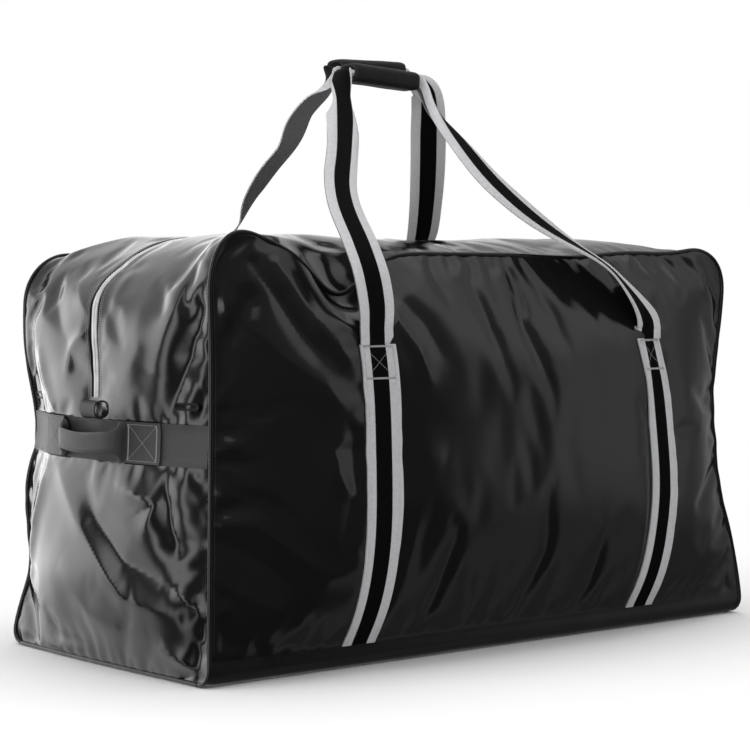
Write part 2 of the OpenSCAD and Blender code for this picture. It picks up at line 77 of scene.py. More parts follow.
# %% [markdown]
# ## Camera, studio and floor
# A glossy black cloth shows little colour of its own: what the eye reads is what it mirrors. A studio therefore
# puts white and black cards round such a thing. Here one ring of cards stands for them. It is seen by reflections
# only, so the floor and the background stay plain and pale. Soft lamps give the webbing and the floor their plain
# light.


# %% Camera
def placed(name, data, location=(0, 0, 0)):
    """A new object in the scene."""
    obj = bpy.data.objects.new(name, data)
    scene.collection.objects.link(obj)
    obj.location = location
    return obj


VIEW_TURN, VIEW_TILT = math.radians(40.2), math.radians(2.33)
camera = placed("Camera", bpy.data.cameras.new("Camera"), (-1.979, -2.313, 0.477))
camera.rotation_euler = (math.pi / 2 - VIEW_TILT, 0, -VIEW_TURN)
camera.data.sensor_width, camera.data.lens, camera.data.clip_end = 36, 105.2, 200
scene.camera = camera
scene.view_settings.view_transform = "Standard"
print("camera with a lens of", round(camera.data.lens, 1), "mm")


# %% Small helpers for node trees
def node_tree(owner):
    owner.use_nodes = True
    owner.node_tree.nodes.clear()
    return owner.node_tree


def put(tree, socket, value):
    """Sets a socket to a value, or links it where the value is another node's socket."""
    if isinstance(value, bpy.types.NodeSocket):
        tree.links.new(value, socket)
    else:
        socket.default_value = value


def add_node(tree, kind, **values):
    """A node with its settings and sockets by name. The name in_2 stands for the socket numbered 2."""
    node = tree.nodes.new(kind)
    for name, value in values.items():
        if name in node.bl_rna.properties and not name.startswith("in_"):
            setattr(node, name, value)
        else:
            key = name.removeprefix("in_")
            put(tree, node.inputs[int(key) if key.isdigit() else key.replace("_", " ")], value)
    return node


def math_node(tree, operation, *values):
    sockets = {f"in_{k}": value for k, value in enumerate(values)}
    return add_node(tree, "ShaderNodeMath", operation=operation, **sockets).outputs[0]


def mapped(tree, value, start, end, low=0.0, high=1.0, kind="SMOOTHSTEP"):
    """A value that goes from low to high while the given one goes from start to end."""
    return add_node(tree, "ShaderNodeMapRange", interpolation_type=kind, in_Value=value, in_1=start,
                    in_2=end, in_3=low, in_4=high).outputs[0]


def mixed(tree, share, a, b):
    mix = add_node(tree, "ShaderNodeMix", data_type="RGBA")
    for place, value in zip((0, 6, 7), (share, a, b)):
        put(tree, mix.inputs[place], value)
    return mix.outputs[2]


# %% World: white where it is seen or mirrored, softer where it lights
SKY_LIGHT = 0.64
scene.world = bpy.data.worlds.new("Studio")
tree = node_tree(scene.world)
rays = add_node(tree, "ShaderNodeLightPath").outputs
seen = math_node(tree, "MAXIMUM", rays["Is Camera Ray"], rays["Is Glossy Ray"])
seen = math_node(tree, "MAXIMUM", seen, rays["Is Transmission Ray"])
shade = add_node(tree, "ShaderNodeBackground", in_Color=(1, 1, 1, 1),
                 in_Strength=mapped(tree, seen, 0.0, 1.0, SKY_LIGHT, 1.0, "LINEAR"))
add_node(tree, "ShaderNodeOutputWorld", in_Surface=shade.outputs[0])
print("world made")


# %% Meshes from arrays of points, in millimetres
def make_mesh(name, points, faces, uv=None, normals=None, materials=(), index=None):
    """One mesh object at the origin. The points are in millimetres; faces all have as many corners."""
    faces = np.asarray(faces, np.int32)
    count, corners = faces.shape
    mesh = bpy.data.meshes.new(name)
    mesh.vertices.add(len(points))
    mesh.vertices.foreach_set("co", (np.asarray(points, float) * MM).astype(np.float32).ravel())
    mesh.loops.add(count * corners)
    mesh.loops.foreach_set("vertex_index", faces.ravel())
    mesh.polygons.add(count)
    mesh.polygons.foreach_set("loop_start", np.arange(0, count * corners, corners, dtype=np.int32))
    for material in materials:
        mesh.materials.append(material)
    if index is not None:
        mesh.polygons.foreach_set("material_index", np.asarray(index, np.int32))
    if uv is not None:
        layer = mesh.uv_layers.new(name="UVMap")
        layer.uv.foreach_set("vector", np.asarray(uv, np.float32)[faces.ravel()].ravel())
    mesh.polygons.foreach_set("use_smooth", np.ones(count, bool))
    mesh.update(calc_edges=True)
    mesh.validate()
    if normals is not None:
        mesh.normals_split_custom_set_from_vertices(np.asarray(normals, np.float32))
    return placed(name, mesh)


def outward(points, faces):
    """The faces, turned over if together they enclose a negative volume."""
    first = points[faces[:, 0]]
    volume = sum(np.einsum("ij,ij->i", first, np.cross(points[faces[:, k]], points[faces[:, k + 1]])).sum()
                 for k in range(1, faces.shape[1] - 1))
    return faces if volume > 0 else faces[:, ::-1]


def quads(rows, cols, closed=False):
    """The faces of a grid of points; closed joins its last column to its first."""
    r = np.arange(rows - 1)[:, None] * cols
    c = np.arange(cols if closed else cols - 1)[None, :]
    right = (c + 1) % cols
    return np.stack([r + c, r + right, r + cols + right, r + cols + c], -1).reshape(-1, 4)


# %% Floor
FLOOR_HALF, CARD_RADIUS, CARD_SIDES = 30000, 4200, 96
LIT_OUT_TO, WHITE_FROM = 0.75, 1.9  # metres from the middle: lit paper to the first, plain white from the second
corners = [[x * FLOOR_HALF, y * FLOOR_HALF, 0] for x, y in ((-1, -1), (1, -1), (1, 1), (-1, 1))]
floor = make_mesh("floor", corners, [[0, 1, 2, 3]])
paper = bpy.data.materials.new("Pale paper")
tree = node_tree(paper)
where = add_node(tree, "ShaderNodeTexCoord").outputs["Object"]
away = add_node(tree, "ShaderNodeVectorMath", operation="LENGTH", in_0=where).outputs["Value"]
lit = add_node(tree, "ShaderNodeBsdfDiffuse", in_Color=(0.93, 0.93, 0.93, 1))
glow = add_node(tree, "ShaderNodeEmission", in_Color=(1, 1, 1, 1), in_Strength=1.0)
both = add_node(tree, "ShaderNodeMixShader", in_0=mapped(tree, away, LIT_OUT_TO, WHITE_FROM),
                in_1=lit.outputs[0], in_2=glow.outputs[0])
add_node(tree, "ShaderNodeOutputMaterial", in_Surface=both.outputs[0])
floor.data.materials.append(paper)
floor.visible_glossy = False
floor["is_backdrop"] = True

# %% Cards
# Brightness of the cards by direction, level with the bag and high up. The direction is a share of a turn from
# +X towards +Y.
CARDS = [
    (0.00, 0.26, 0.5), (0.10, 0.40, 0.6), (0.17, 1.6, 1.2), (0.20, 2.6, 1.4), (0.345, 2.9, 1.1),
    (0.390, 2.8, 1.3), (0.397, 0.12, 0.5), (0.419, 0.12, 0.3), (0.428, 2.6, 1.6), (0.447, 2.6, 1.6),
    (0.457, 0.10, 0.2), (0.50, 0.10, 0.3), (0.525, 2.6, 1.4), (0.60, 3.0, 1.6), (0.625, 0.14, 0.2),
    (0.715, 0.08, 0.15), (0.855, 0.07, 0.2), (0.865, 0.60, 0.84), (0.90, 0.54, 0.8), (0.94, 0.26, 0.5),
    (0.99, 0.24, 0.4),
]
CARD_PEAK, CARD_LOW = 4.0, 0.38         # the ramps' full value, and the share of light that low cards give
HIGH_FROM, HIGH_AT = 1.25, 2.3          # metres up, where the high column takes over from the level one
DIM_BELOW, BRIGHT_ABOVE = -1.3, 0.1     # metres up, between which the cards come up to full light
turn = np.linspace(0, 2 * np.pi, CARD_SIDES, endpoint=False)
ring = np.stack([np.cos(turn) * CARD_RADIUS, np.sin(turn) * CARD_RADIUS], -1)
cards = make_mesh("cards", np.concatenate([np.c_[ring, np.full(CARD_SIDES, height)]
                                           for height in (-FLOOR_HALF, CARD_RADIUS)]),
                  quads(2, CARD_SIDES, closed=True))
card = bpy.data.materials.new("Studio cards")
tree = node_tree(card)
where = add_node(tree, "ShaderNodeTexCoord").outputs["Object"]
x, y, up = add_node(tree, "ShaderNodeSeparateXYZ", in_Vector=where).outputs
share = math_node(tree, "DIVIDE", math_node(tree, "ARCTAN2", y, x), 2 * math.pi)
share = math_node(tree, "WRAP", share, 1.0, 0.0)
levels = []
for column in (1, 2):
    ramp = add_node(tree, "ShaderNodeValToRGB", in_Fac=share)
    stops = ramp.color_ramp.elements
    while len(stops) < len(CARDS):
        stops.new(0.5)
    for stop, row in zip(stops, CARDS):
        stop.position = row[0]
        stop.color = (row[column] / CARD_PEAK,) * 3 + (1,)
    levels.append(ramp.outputs["Color"])
level = mixed(tree, mapped(tree, up, HIGH_FROM, HIGH_AT), *levels)
power = mapped(tree, up, DIM_BELOW, BRIGHT_ABOVE, CARD_PEAK * CARD_LOW, CARD_PEAK)
glow = add_node(tree, "ShaderNodeEmission", in_Color=level, in_Strength=power)
add_node(tree, "ShaderNodeOutputMaterial", in_Surface=glow.outputs[0])
cards.data.materials.append(card)
cards.visible_camera = cards.visible_diffuse = cards.visible_shadow = False
cards.visible_transmission = cards.visible_volume_scatter = False
cards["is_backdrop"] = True
print("floor and cards made")


# %% Lamps
def lamp(name, kind, power, place, aim=(0, 0, 0.3), **values):
    """A light that gives colour and shadow but isn't mirrored."""
    light = placed(name, bpy.data.lights.new(name, kind), place)
    light.rotation_euler = (Vector(aim) - Vector(place)).to_track_quat("-Z", "Y").to_euler()
    light.visible_glossy = False
    for key, value in {"energy": power, **values}.items():
        setattr(light.data, key, value)


lamp("front lamp", "AREA", 12, (-0.4, -3.4, 2.2), size=2.4)
lamp("left lamp", "AREA", 40, (-3.4, 0.6, 2.0), size=2.4)
lamp("top lamp", "AREA", 62, (0.3, 0.2, 3.6), size=2.8)
lamp("handle light", "SPOT", 150, (-1.7, -1.95, 0.56), (0.02, 0.05, 0.665), shadow_soft_size=0.12,
     spot_size=math.radians(8.5), spot_blend=0.5)
print("4 lamps made")

# %% [markdown]
# ## The finishes
# Tarpaulin is a woven polyester scrim under clear black vinyl. The weave shows through as a fine bump and the
# vinyl gives a sharp gloss with a few duller scuffs. Webbing is woven across its length, so it gets ribs that
# follow its own UV map. Each finish is a small node tree. The numbers that are the same all over a surface sit on
# the shader's own sockets.


# %% Finish helpers
def finish_tree(name, **shader_values):
    material = bpy.data.materials.new(name)
    tree = node_tree(material)
    shader = add_node(tree, "ShaderNodeBsdfPrincipled", **shader_values)
    add_node(tree, "ShaderNodeOutputMaterial", in_Surface=shader.outputs[0])
    return material, tree, shader.inputs, add_node(tree, "ShaderNodeTexCoord").outputs


def rgba(tone, share=1.0):
    return tuple(c * share for c in tone) + (1,)


def noise(tree, vector, scale, **more):
    return add_node(tree, "ShaderNodeTexNoise", in_Vector=vector, in_Scale=scale, **more).outputs[0]


def noise_between(tree, vector, scale, low, high, detail=3.0):
    """A noise value spread between two levels."""
    return mapped(tree, noise(tree, vector, scale, in_Detail=detail), 0.35, 0.65, low, high, "LINEAR")


def bump_chain(tree, shader, steps):
    """Adds bumps, each a height, a strength and a depth in metres."""
    normal = None
    for height, power, depth in steps:
        bump = add_node(tree, "ShaderNodeBump", in_Height=height, in_Strength=power, in_Distance=depth)
        if normal:
            tree.links.new(normal, bump.inputs["Normal"])
        normal = bump.outputs[0]
    tree.links.new(normal, shader["Normal"])


WAVE_STEP = 2 * math.pi / 20  # Blender's wave texture repeats this often at a scale of 1


def waves(tree, vector, scale, direction):
    return add_node(tree, "ShaderNodeTexWave", wave_type="BANDS", bands_direction=direction,
                    wave_profile="SIN", in_Vector=vector, in_Scale=scale).outputs["Fac"]


# %% Coated tarpaulin
def tarpaulin(name, tone, rough_low, rough_high, thread=0.0013):
    """Glossy vinyl over a square weave that follows the cloth's UV map."""
    material, tree, shader, where = finish_tree(name, in_IOR=1.5)
    across, along = (waves(tree, where["UV"], WAVE_STEP / thread, way) for way in "XY")
    crinkle = noise(tree, where["Object"], 34.0, in_Detail=4.0)
    put(tree, shader["Roughness"], noise_between(tree, where["Object"], 9.0, rough_low, rough_high, 5.0))
    patch = noise(tree, where["Object"], 6.0)
    put(tree, shader["Base Color"], mixed(tree, patch, rgba(tone, 0.7), rgba(tone)))
    weave = math_node(tree, "MULTIPLY", across, along)
    bump_chain(tree, shader, [(crinkle, 0.10, 0.0012), (weave, 0.14, 0.00018)])
    return material


cloth_finish = tarpaulin("Black tarpaulin", (0.0060, 0.0060, 0.0065), 0.05, 0.11)
base_finish = tarpaulin("Base tarpaulin", (0.0050, 0.0050, 0.0053), 0.24, 0.38)

# %% Webbing
STRIPE, STRIPE_WAVER = (0.265, 0.735), 0.012  # shares of the width, and how far the ribs move its edge


def webbing(name, middle, edge=None, rib=0.0016, rough=0.75, gloss=0.05):
    """Ribbed woven tape. U runs across it from 0 to 1 and V along it, in metres."""
    material, tree, shader, where = finish_tree(name, in_Roughness=rough, in_Specular_IOR_Level=gloss)
    ribs = waves(tree, where["UV"], WAVE_STEP / rib, "Y")
    yarns = waves(tree, where["UV"], WAVE_STEP * 32, "X")
    fuzz = noise(tree, where["Object"], 900.0)
    shade = noise_between(tree, where["Object"], 220.0, 0.0, 1.0)
    colour = mixed(tree, shade, rgba(middle, 0.82), rgba(middle))
    if edge:
        pale = mixed(tree, shade, rgba(edge, 0.9), rgba(edge))
        across = add_node(tree, "ShaderNodeSeparateXYZ", in_Vector=where["UV"]).outputs["X"]
        wander = math_node(tree, "MULTIPLY_ADD", ribs, STRIPE_WAVER, across)
        above = math_node(tree, "GREATER_THAN", wander, STRIPE[0] + STRIPE_WAVER / 2)
        below = math_node(tree, "LESS_THAN", wander, STRIPE[1] + STRIPE_WAVER / 2)
        colour = mixed(tree, math_node(tree, "MULTIPLY", above, below), pale, colour)
    put(tree, shader["Base Color"], colour)
    bump_chain(tree, shader, [(ribs, 0.55, 0.0005), (yarns, 0.12, 0.0004), (fuzz, 0.2, 0.0002)])
    return material


striped_webbing = webbing("Striped webbing", (0.0025, 0.0025, 0.0027), (0.46, 0.46, 0.47))
dark_webbing = webbing("Plain back of the webbing", (0.15, 0.15, 0.155))
plain_webbing = webbing("Charcoal webbing", (0.022, 0.022, 0.024), rough=0.42, gloss=0.28)
zip_tape_finish = webbing("Zip tape", (0.014, 0.014, 0.015), rib=0.0009)
STRIPED, PLAIN = [striped_webbing, dark_webbing], [plain_webbing]


# %% Plastics, metal and thread
def grained(name, tone, rough_low, rough_high, grain, depth, scale=400.0, **values):
    material, tree, shader, where = finish_tree(name, **values)
    shade = noise_between(tree, where["Object"], 60.0, 0, 1)
    put(tree, shader["Base Color"], mixed(tree, shade, rgba(tone, 0.8), rgba(tone)))
    put(tree, shader["Roughness"], noise_between(tree, where["Object"], 90.0, rough_low, rough_high))
    bump_chain(tree, shader, [(noise(tree, where["Object"], scale), grain, depth)])
    return material


piping_finish = grained("Piping vinyl", (0.005, 0.005, 0.0055), 0.25, 0.38, 0.3, 0.0003,
                        in_Specular_IOR_Level=0.35)
vent_finish = grained("Eyelet plastic", (0.005, 0.005, 0.005), 0.4, 0.5, 0.1, 0.0002,
                      in_Specular_IOR_Level=0.2)
slider_finish = grained("Slider metal", (0.42, 0.42, 0.44), 0.28, 0.42, 0.1, 0.0002, in_Metallic=1.0)
coil_finish = grained("Zip coil", (0.72, 0.72, 0.73), 0.3, 0.4, 0.1, 0.0002)
grip_finish = grained("Grip sleeve", (0.009, 0.009, 0.0094), 0.5, 0.66, 0.4, 0.0005, scale=1200.0,
                      in_Specular_IOR_Level=0.2)
pale_thread = grained("Pale thread", (0.34, 0.34, 0.35), 0.5, 0.7, 0.3, 0.0002)
dark_thread = grained("Dark thread", (0.03, 0.03, 0.032), 0.4, 0.6, 0.3, 0.0002)
board_finish = grained("Board plastic", (0.06, 0.06, 0.065), 0.4, 0.55, 0.2, 0.0004)
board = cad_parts["bottom_board"]
board.data.materials.clear()
board.data.materials.append(board_finish)
print("finishes:", len(bpy.data.materials))

# %% [markdown]
# ## The shape of the bag
# Each long panel leans in a little and bellies out. A single strip of cloth runs up one end, over the top and down
# the other end. The same rules and sizes draw the CAD solids, so the dressed cloth starts exactly on them. Real
# seams are never straight, so a few soft pushes then move seams, cloth and webbing together: the dent behind the
# left handle, the square shoulders of the corners and the waist of the right end.

# %% Sizes of the bag, in millimetres
BASE_LENGTH, BASE_WIDTH, SEAM_HEIGHT = 940.0, 450.0, 518.0
WALL_LEAN, CORNER_RADIUS = 17.0, 66.0
SIDE_BULGE, END_BULGE, TOP_CROWN, CORNER_SAG, CORNER_REACH = 60.0, 22.0, 20.0, 6.0, 100.0
BOOT_HEIGHT, BOOT_RADIUS, PIPING_RADIUS, END_FULLNESS = 32.0, 20.0, 3.0, 120.0
BAND_HEIGHT, BAND_WIDTH, BAND_THICKNESS = 286.0, 51.0, 1.6
ZIP_SLOT, ZIP_LOW = 18.0, 337.0
STRAP_X = {"front": (-241.0, 259.0), "back": (-250.0, 250.0)}
STRAP_WIDTH, STRAP_THICKNESS, STRAP_LEAVES = 52.0, 2.0, 406.0
SHOULDER = SEAM_HEIGHT - CORNER_RADIUS
BASE_SEAM = PIPING_RADIUS + 0.2
FOOT_CENTRE = BASE_SEAM + BOOT_RADIUS


def half_length(z):
    return BASE_LENGTH / 2 - WALL_LEAN * z / SEAM_HEIGHT


def half_width(z):
    return BASE_WIDTH / 2 - WALL_LEAN * z / SEAM_HEIGHT


TOP_HALF = half_length(SHOULDER) - CORNER_RADIUS
FOOT_Y = half_width(FOOT_CENTRE) - BOOT_RADIUS  # where the flat floor ends


def ease(t):
    t = np.clip(t, 0, 1)
    return t * t * (3 - 2 * t)


def panel_half(z):
    """Half the length of a long panel at a height, out to the middle of its piping."""
    round_part = TOP_HALF + np.sqrt(np.maximum(0, CORNER_RADIUS ** 2 - np.maximum(0, z - SHOULDER) ** 2))
    return np.where(z <= SHOULDER, half_length(z), round_part)


def belly(x, z):
    """How far a long panel stands out at x and z."""
    middle = (BOOT_HEIGHT + SEAM_HEIGHT) / 2
    u = np.minimum(1, np.abs(x) / panel_half(z))
    v = np.minimum(1, np.abs(z - middle) / (SEAM_HEIGHT - middle))
    return SIDE_BULGE * (1 - u ** 4) * (1 - v ** 3)


print("top half length", round(TOP_HALF, 1), "mm")


# %% Soft pushes
def table(text):
    """Rows of numbers, with a comma between rows."""
    return [[float(word) for word in row.split()] for row in text.split(",")]


# Each row: a place, a movement, and how far the push reaches.
PUSHES = table("""
    -255 -212 514  0 6 -52  38, -418 -212 505  -6 0 27  48, 415 -212 500  -2 0 12  48,
    160 -212 516  0 0 -5  60, -450 -95 506  0 0 9  48, 452 -205 480  7 0 9  36, 240 -206 518  0 -3 6  70,
    444 0 528  0 0 -11  41, 412 -120 526  0 0 -9  50, -466 0 484  0 30 0  45, -466 215 115  19 -10 0  54,
    468 -222 190  -12 0 0  46, 460 -215 300  -29 0 0  76, 470 -225 8  14 0 0  60, -462 215 286  22 -6 0  58,
    -30 0 538  0 0 -8  70, 460 215 290  -20 0 0  80, 240 212 514  0 -6 -30  45, -60 212 516  0 0 -12  90,
    -470 0 4  -4 0 0  120
""")


def pushed(points):
    """The points, moved by the soft pushes near them."""
    points = np.asarray(points, float)
    moved = points.copy()
    for push in PUSHES:
        away = ((points - push[:3]) ** 2).sum(-1)
        moved += np.array(push[3:6]) * np.exp(-away / (2 * push[6] ** 2))[..., None]
    return moved


print("soft pushes:", len(PUSHES))

# %% [markdown]
# ## Two grids of cloth
# Cloth drapes best on even, four-sided faces. One grid wraps the front panel, the base and the back panel. The
# other is the strip over the ends and the top. Their edges share the middle line of the piping, so one closed
# skin can be simulated and then cut into its real panels.

# %% The grid round the long panels and the base
STEP, ACROSS_COUNT = 8.6, 24  # size of a cloth face, and places from the zip's slot to the seam
BASE_EDGE = 0.975             # share of the length beyond which the base rises to its piping
SLOT = ZIP_SLOT / 2
side_z = np.linspace(SHOULDER, BOOT_HEIGHT, int((SHOULDER - BOOT_HEIGHT) / STEP) + 1)
corner_angles = np.radians(np.linspace(90, 0, 13))[:-1]
foot_angles = np.radians(np.linspace(0, 90, 6))
u_steps = np.linspace(-1, 1, int(2 * TOP_HALF / STEP) + 1)
panel_z = np.concatenate([SHOULDER + CORNER_RADIUS * np.sin(corner_angles), side_z])


def strip_share(edge):
    """Places across the strip, with two of them on the edges of the zip's slot."""
    outer = np.linspace(-edge, -SLOT, ACROSS_COUNT)
    return np.concatenate([outer, [0.0], -outer[::-1]])


def panel_row(z):
    x = u_steps * panel_half(z)
    return np.stack([x, -half_width(z) - belly(x, z), np.full(len(x), z)], -1)


near_edge = np.clip((np.abs(u_steps) - BASE_EDGE) / (1 - BASE_EDGE), 0, 1)


def base_row(y, z, y_edge, z_edge):
    """A row along the base. It ends at its own place in the piping."""
    return np.stack([u_steps * half_length(FOOT_CENTRE), y + (y_edge - y) * near_edge,
                     z + (z_edge - z) * near_edge], -1)


def boot_row(angle):
    """A row of the turned-up edge of the base, between the boot seam and the floor."""
    over, up = BOOT_RADIUS * np.cos(angle), BOOT_RADIUS * np.sin(angle)
    return base_row(BOOT_RADIUS - half_width(BOOT_RADIUS) - over, BOOT_RADIUS - up, -FOOT_Y - over,
                    FOOT_CENTRE - up)


mirror_y = np.array([1, -1, 1])
half_sheet = np.stack([panel_row(z) for z in panel_z] + [boot_row(angle) for angle in foot_angles])
floor_rows = np.stack([base_row(y, 0.0, y, BASE_SEAM) for y in strip_share(FOOT_Y)[1:-1]])
sheet = pushed(np.concatenate([half_sheet, floor_rows, half_sheet[::-1] * mirror_y]))
FRONT_ROWS, SIDE_LINES = len(panel_z), len(half_sheet)
print("sheet", sheet.shape)

# %% The strip over the ends and the top
QUARTER = np.pi * CORNER_RADIUS / 4  # half the way round a corner


def fullness(full, away):
    """How far the strip stands out: sunk at the middle of a corner, full away from it."""
    return -CORNER_SAG + (full + CORNER_SAG) * ease(away / CORNER_REACH)


# Each line: x and z, the way it faces as x and z, how far it stands out, and half its width.
def end_line(z):
    full = END_BULGE * ease((z - BASE_SEAM) / END_FULLNESS)
    edge = half_width(z)
    if z < FOOT_CENTRE:
        edge = FOOT_Y + np.sqrt(max(0, BOOT_RADIUS ** 2 - (FOOT_CENTRE - z) ** 2))
    return [-half_length(max(z, FOOT_CENTRE)), z, -1, 0, fullness(full, QUARTER + SHOULDER - z), edge]


def corner_line(angle):
    z = SHOULDER + CORNER_RADIUS * math.sin(angle)
    full = END_BULGE + (TOP_CROWN - END_BULGE) * ease(angle / (math.pi / 2))
    away = QUARTER * abs(math.degrees(angle) - 45) / 45
    return [-TOP_HALF - CORNER_RADIUS * math.cos(angle), z, -math.cos(angle), math.sin(angle),
            fullness(full, away), half_width(z)]


def top_line(x):
    return [x, SEAM_HEIGHT, 0, 1, fullness(TOP_CROWN, QUARTER + TOP_HALF - abs(x)), half_width(SEAM_HEIGHT)]


left_lines = ([end_line(FOOT_CENTRE - BOOT_RADIUS * math.sin(a)) for a in foot_angles[::-1]]
              + [end_line(z) for z in side_z[::-1]] + [corner_line(a) for a in corner_angles[::-1]])
lines = np.array(left_lines + [top_line(x) for x in u_steps[1:-1] * TOP_HALF]
                 + [[-x, z, -face_x, *rest] for x, z, face_x, *rest in left_lines[::-1]], float)
across = np.stack([strip_share(edge) for edge in lines[:, 5]])
rise = lines[:, 4:5] * (1 - (across / lines[:, 5:6]) ** 2)
strip = pushed(np.stack([lines[:, 0:1] + lines[:, 2:3] * rise, across, lines[:, 1:2] + lines[:, 3:4] * rise],
                        -1))
print("strip", strip.shape)

# %% [markdown]
# ## Let the cloth settle
# A cloth simulation gives the small puckers and slack that a sewn bag has and that nobody draws by hand. Seams,
# base, zip and sewn webbing are pinned. The cloth between them is cut about one percent too large and gets a
# light pressure from inside, as from soft clothes, so it buckles and fills. A point may move only so far, so the
# bag keeps its size. The pressure needs a closed skin, so the two grids are joined along their seams first.

# %% One closed skin
SHEET_ROWS, SHEET_COLS = sheet.shape[:2]
STRIP_ROWS, STRIP_COLS = strip.shape[:2]
sheet_ids = np.arange(SHEET_ROWS * SHEET_COLS).reshape(SHEET_ROWS, SHEET_COLS)
strip_ids = np.full((STRIP_ROWS, STRIP_COLS), -1)
for k in range(SIDE_LINES):
    row = SIDE_LINES - 1 - k
    for line, col in ((k, 0), (STRIP_ROWS - 1 - k, SHEET_COLS - 1)):
        strip_ids[line, 0] = sheet_ids[row, col]
        strip_ids[line, -1] = sheet_ids[SHEET_ROWS - 1 - row, col]
for side in (0, -1):
    strip_ids[SIDE_LINES:STRIP_ROWS - SIDE_LINES, side] = sheet_ids[side, 1:-1]
    strip_ids[side] = sheet_ids[SIDE_LINES - 1:SIDE_LINES - 1 + STRIP_COLS, side]
free = strip_ids < 0
strip_ids[free] = sheet_ids.size + np.arange(free.sum())
skin = np.zeros((sheet_ids.size + free.sum(), 3))
skin[strip_ids] = strip
skin[sheet_ids] = sheet
print("seams closed to", round(float(np.abs(skin[strip_ids] - strip).max()), 3), "mm")


def grid_faces(ids):
    faces = ids.ravel()[quads(*ids.shape)]
    a, b, c, d = (skin[faces[:, k]] for k in range(4))
    normal = np.cross(c - a, d - b)
    centre = (a + c) / 2 - skin.mean(0)
    return faces if (normal * centre).sum() > 0 else faces[:, ::-1]


skin_faces = np.concatenate([grid_faces(sheet_ids), grid_faces(strip_ids)])

# %% What is pinned
STRAP_HOLD, STRAP_HOLD_TOP, BAND_HOLD, END_FROM = 24, 415, 26, 430  # millimetres
pins = np.zeros(len(skin))
for ids, side in ((sheet_ids[:FRONT_ROWS], "front"), (sheet_ids[-FRONT_ROWS:], "back")):
    for middle_x in STRAP_X[side]:
        beside = np.abs(skin[ids][..., 0] - middle_x) < STRAP_HOLD
        pins[ids[beside & (skin[ids][..., 2] < STRAP_HOLD_TOP)]] = 1
for held in (sheet_ids[[0, -1]], sheet_ids[:, [0, -1]], sheet_ids[FRONT_ROWS - 1:SHEET_ROWS - FRONT_ROWS + 1]):
    pins[held] = 1
on_ends = np.abs(strip[..., 0]) > END_FROM
under_band = np.abs(strip[..., 2] - BAND_HEIGHT) < BAND_HOLD
beside_zip = (np.abs(strip[..., 1]) < SLOT + 1) & (strip[..., 2] > ZIP_LOW - 30)
pins[strip_ids[on_ends & under_band | beside_zip]] = 1
print("pinned:", int(pins.sum()), "of", len(pins))

# %% The simulation
CLOTH_FRAMES, CLOTH_REACH = 20, 13.0
CLOTH = {"quality": 6, "mass": 0.3, "tension_stiffness": 18, "compression_stiffness": 18,
         "shear_stiffness": 9, "bending_stiffness": 1.2, "vertex_group_mass": "pinned",
         "shrink_min": -0.012, "use_pressure": True, "uniform_pressure_force": 2.0}


def settle(points, faces, pinned):
    """The points after a short cloth simulation, none moved further than the reach."""
    obj = make_mesh("settling_cloth", points, faces)
    group = obj.vertex_groups.new(name="pinned")
    group.add([int(k) for k in np.flatnonzero(pinned)], 1.0, "REPLACE")
    cloth = obj.modifiers.new("Cloth", "CLOTH")
    for key, value in CLOTH.items():
        setattr(cloth.settings, key, value)
    cloth.settings.effector_weights.gravity = 0
    cloth.collision_settings.use_collision = False
    cloth.point_cache.frame_start, cloth.point_cache.frame_end = 1, CLOTH_FRAMES
    for frame_number in range(1, CLOTH_FRAMES + 1):
        scene.frame_set(frame_number)
    settled = obj.evaluated_get(bpy.context.evaluated_depsgraph_get()).data
    after = np.zeros(len(points) * 3, np.float32)
    settled.vertices.foreach_get("co", after)
    mesh = obj.data
    bpy.data.objects.remove(obj)
    bpy.data.meshes.remove(mesh)
    scene.frame_set(1)
    moved = after.reshape(-1, 3) / MM - points
    far = np.linalg.norm(moved, axis=1, keepdims=True)
    print("cloth moved up to", round(float(far.max()), 1), "mm")
    return points + moved * (CLOTH_REACH * np.tanh(far / CLOTH_REACH) / np.maximum(far, 1e-9))


settled = settle(skin, skin_faces, pins)

# %% [markdown]
# ## Finer cloth and its folds
# The settled grids are refined twice as fine with a smooth rule, like one level of subdivision. Then the large
# folds are pressed in. Each is a line on the cloth with a width and a height: thick vinyl keeps such folds where it
# was once packed. They fade out at seams and under sewn webbing, which hold the cloth flat.


# %% Refining a grid
def finer(grid):
    """A grid with twice as many places each way, smoothed as a cubic B-spline."""
    for axis in (0, 1):
        grid = np.moveaxis(grid, axis, 0)
        out = np.empty((2 * len(grid) - 1,) + grid.shape[1:])
        out[::2], out[1::2] = grid, (grid[1:] + grid[:-1]) / 2
        out[2:-2:2] = (grid[:-2] + 6 * grid[1:-1] + grid[2:]) / 8
        grid = np.moveaxis(out, 0, axis)
    return grid


BAG_MIDDLE = [0, 0, 250]


def unit(v):
    return v / np.maximum(np.linalg.norm(v, axis=-1, keepdims=True), 1e-9)


def facing_out(grid):
    normal = unit(np.cross(np.gradient(grid, axis=0), np.gradient(grid, axis=1)))
    return normal if (normal * (grid - BAG_MIDDLE)).sum() > 0 else -normal


def ripples(a, b, cell, seed):
    """Smooth noise between -1 and 1 over two coordinates in millimetres."""
    draw = np.random.default_rng(seed).uniform(-1, 1, (64, 64))
    a, b = a / cell + 20.5, b / cell + 20.5
    ia, ib = np.floor(a).astype(int), np.floor(b).astype(int)
    fa, fb = ease(a - ia), ease(b - ib)
    low, high = (draw[ia % 64, j % 64] * (1 - fa) + draw[(ia + 1) % 64, j % 64] * fa for j in (ib, ib + 1))
    return low * (1 - fb) + high * fb


# Height and size of the cloth's large lumps, of its small lumps, and of the puckers beside a seam
PANEL_LUMPS, PANEL_PUCKER_REACH = ((1.6, 95), (0.5, 38), (1.5, 17)), 26
STRIP_LUMPS, STRIP_PUCKER_REACH = ((1.1, 80), (0.4, 34), (1.2, 15)), 22


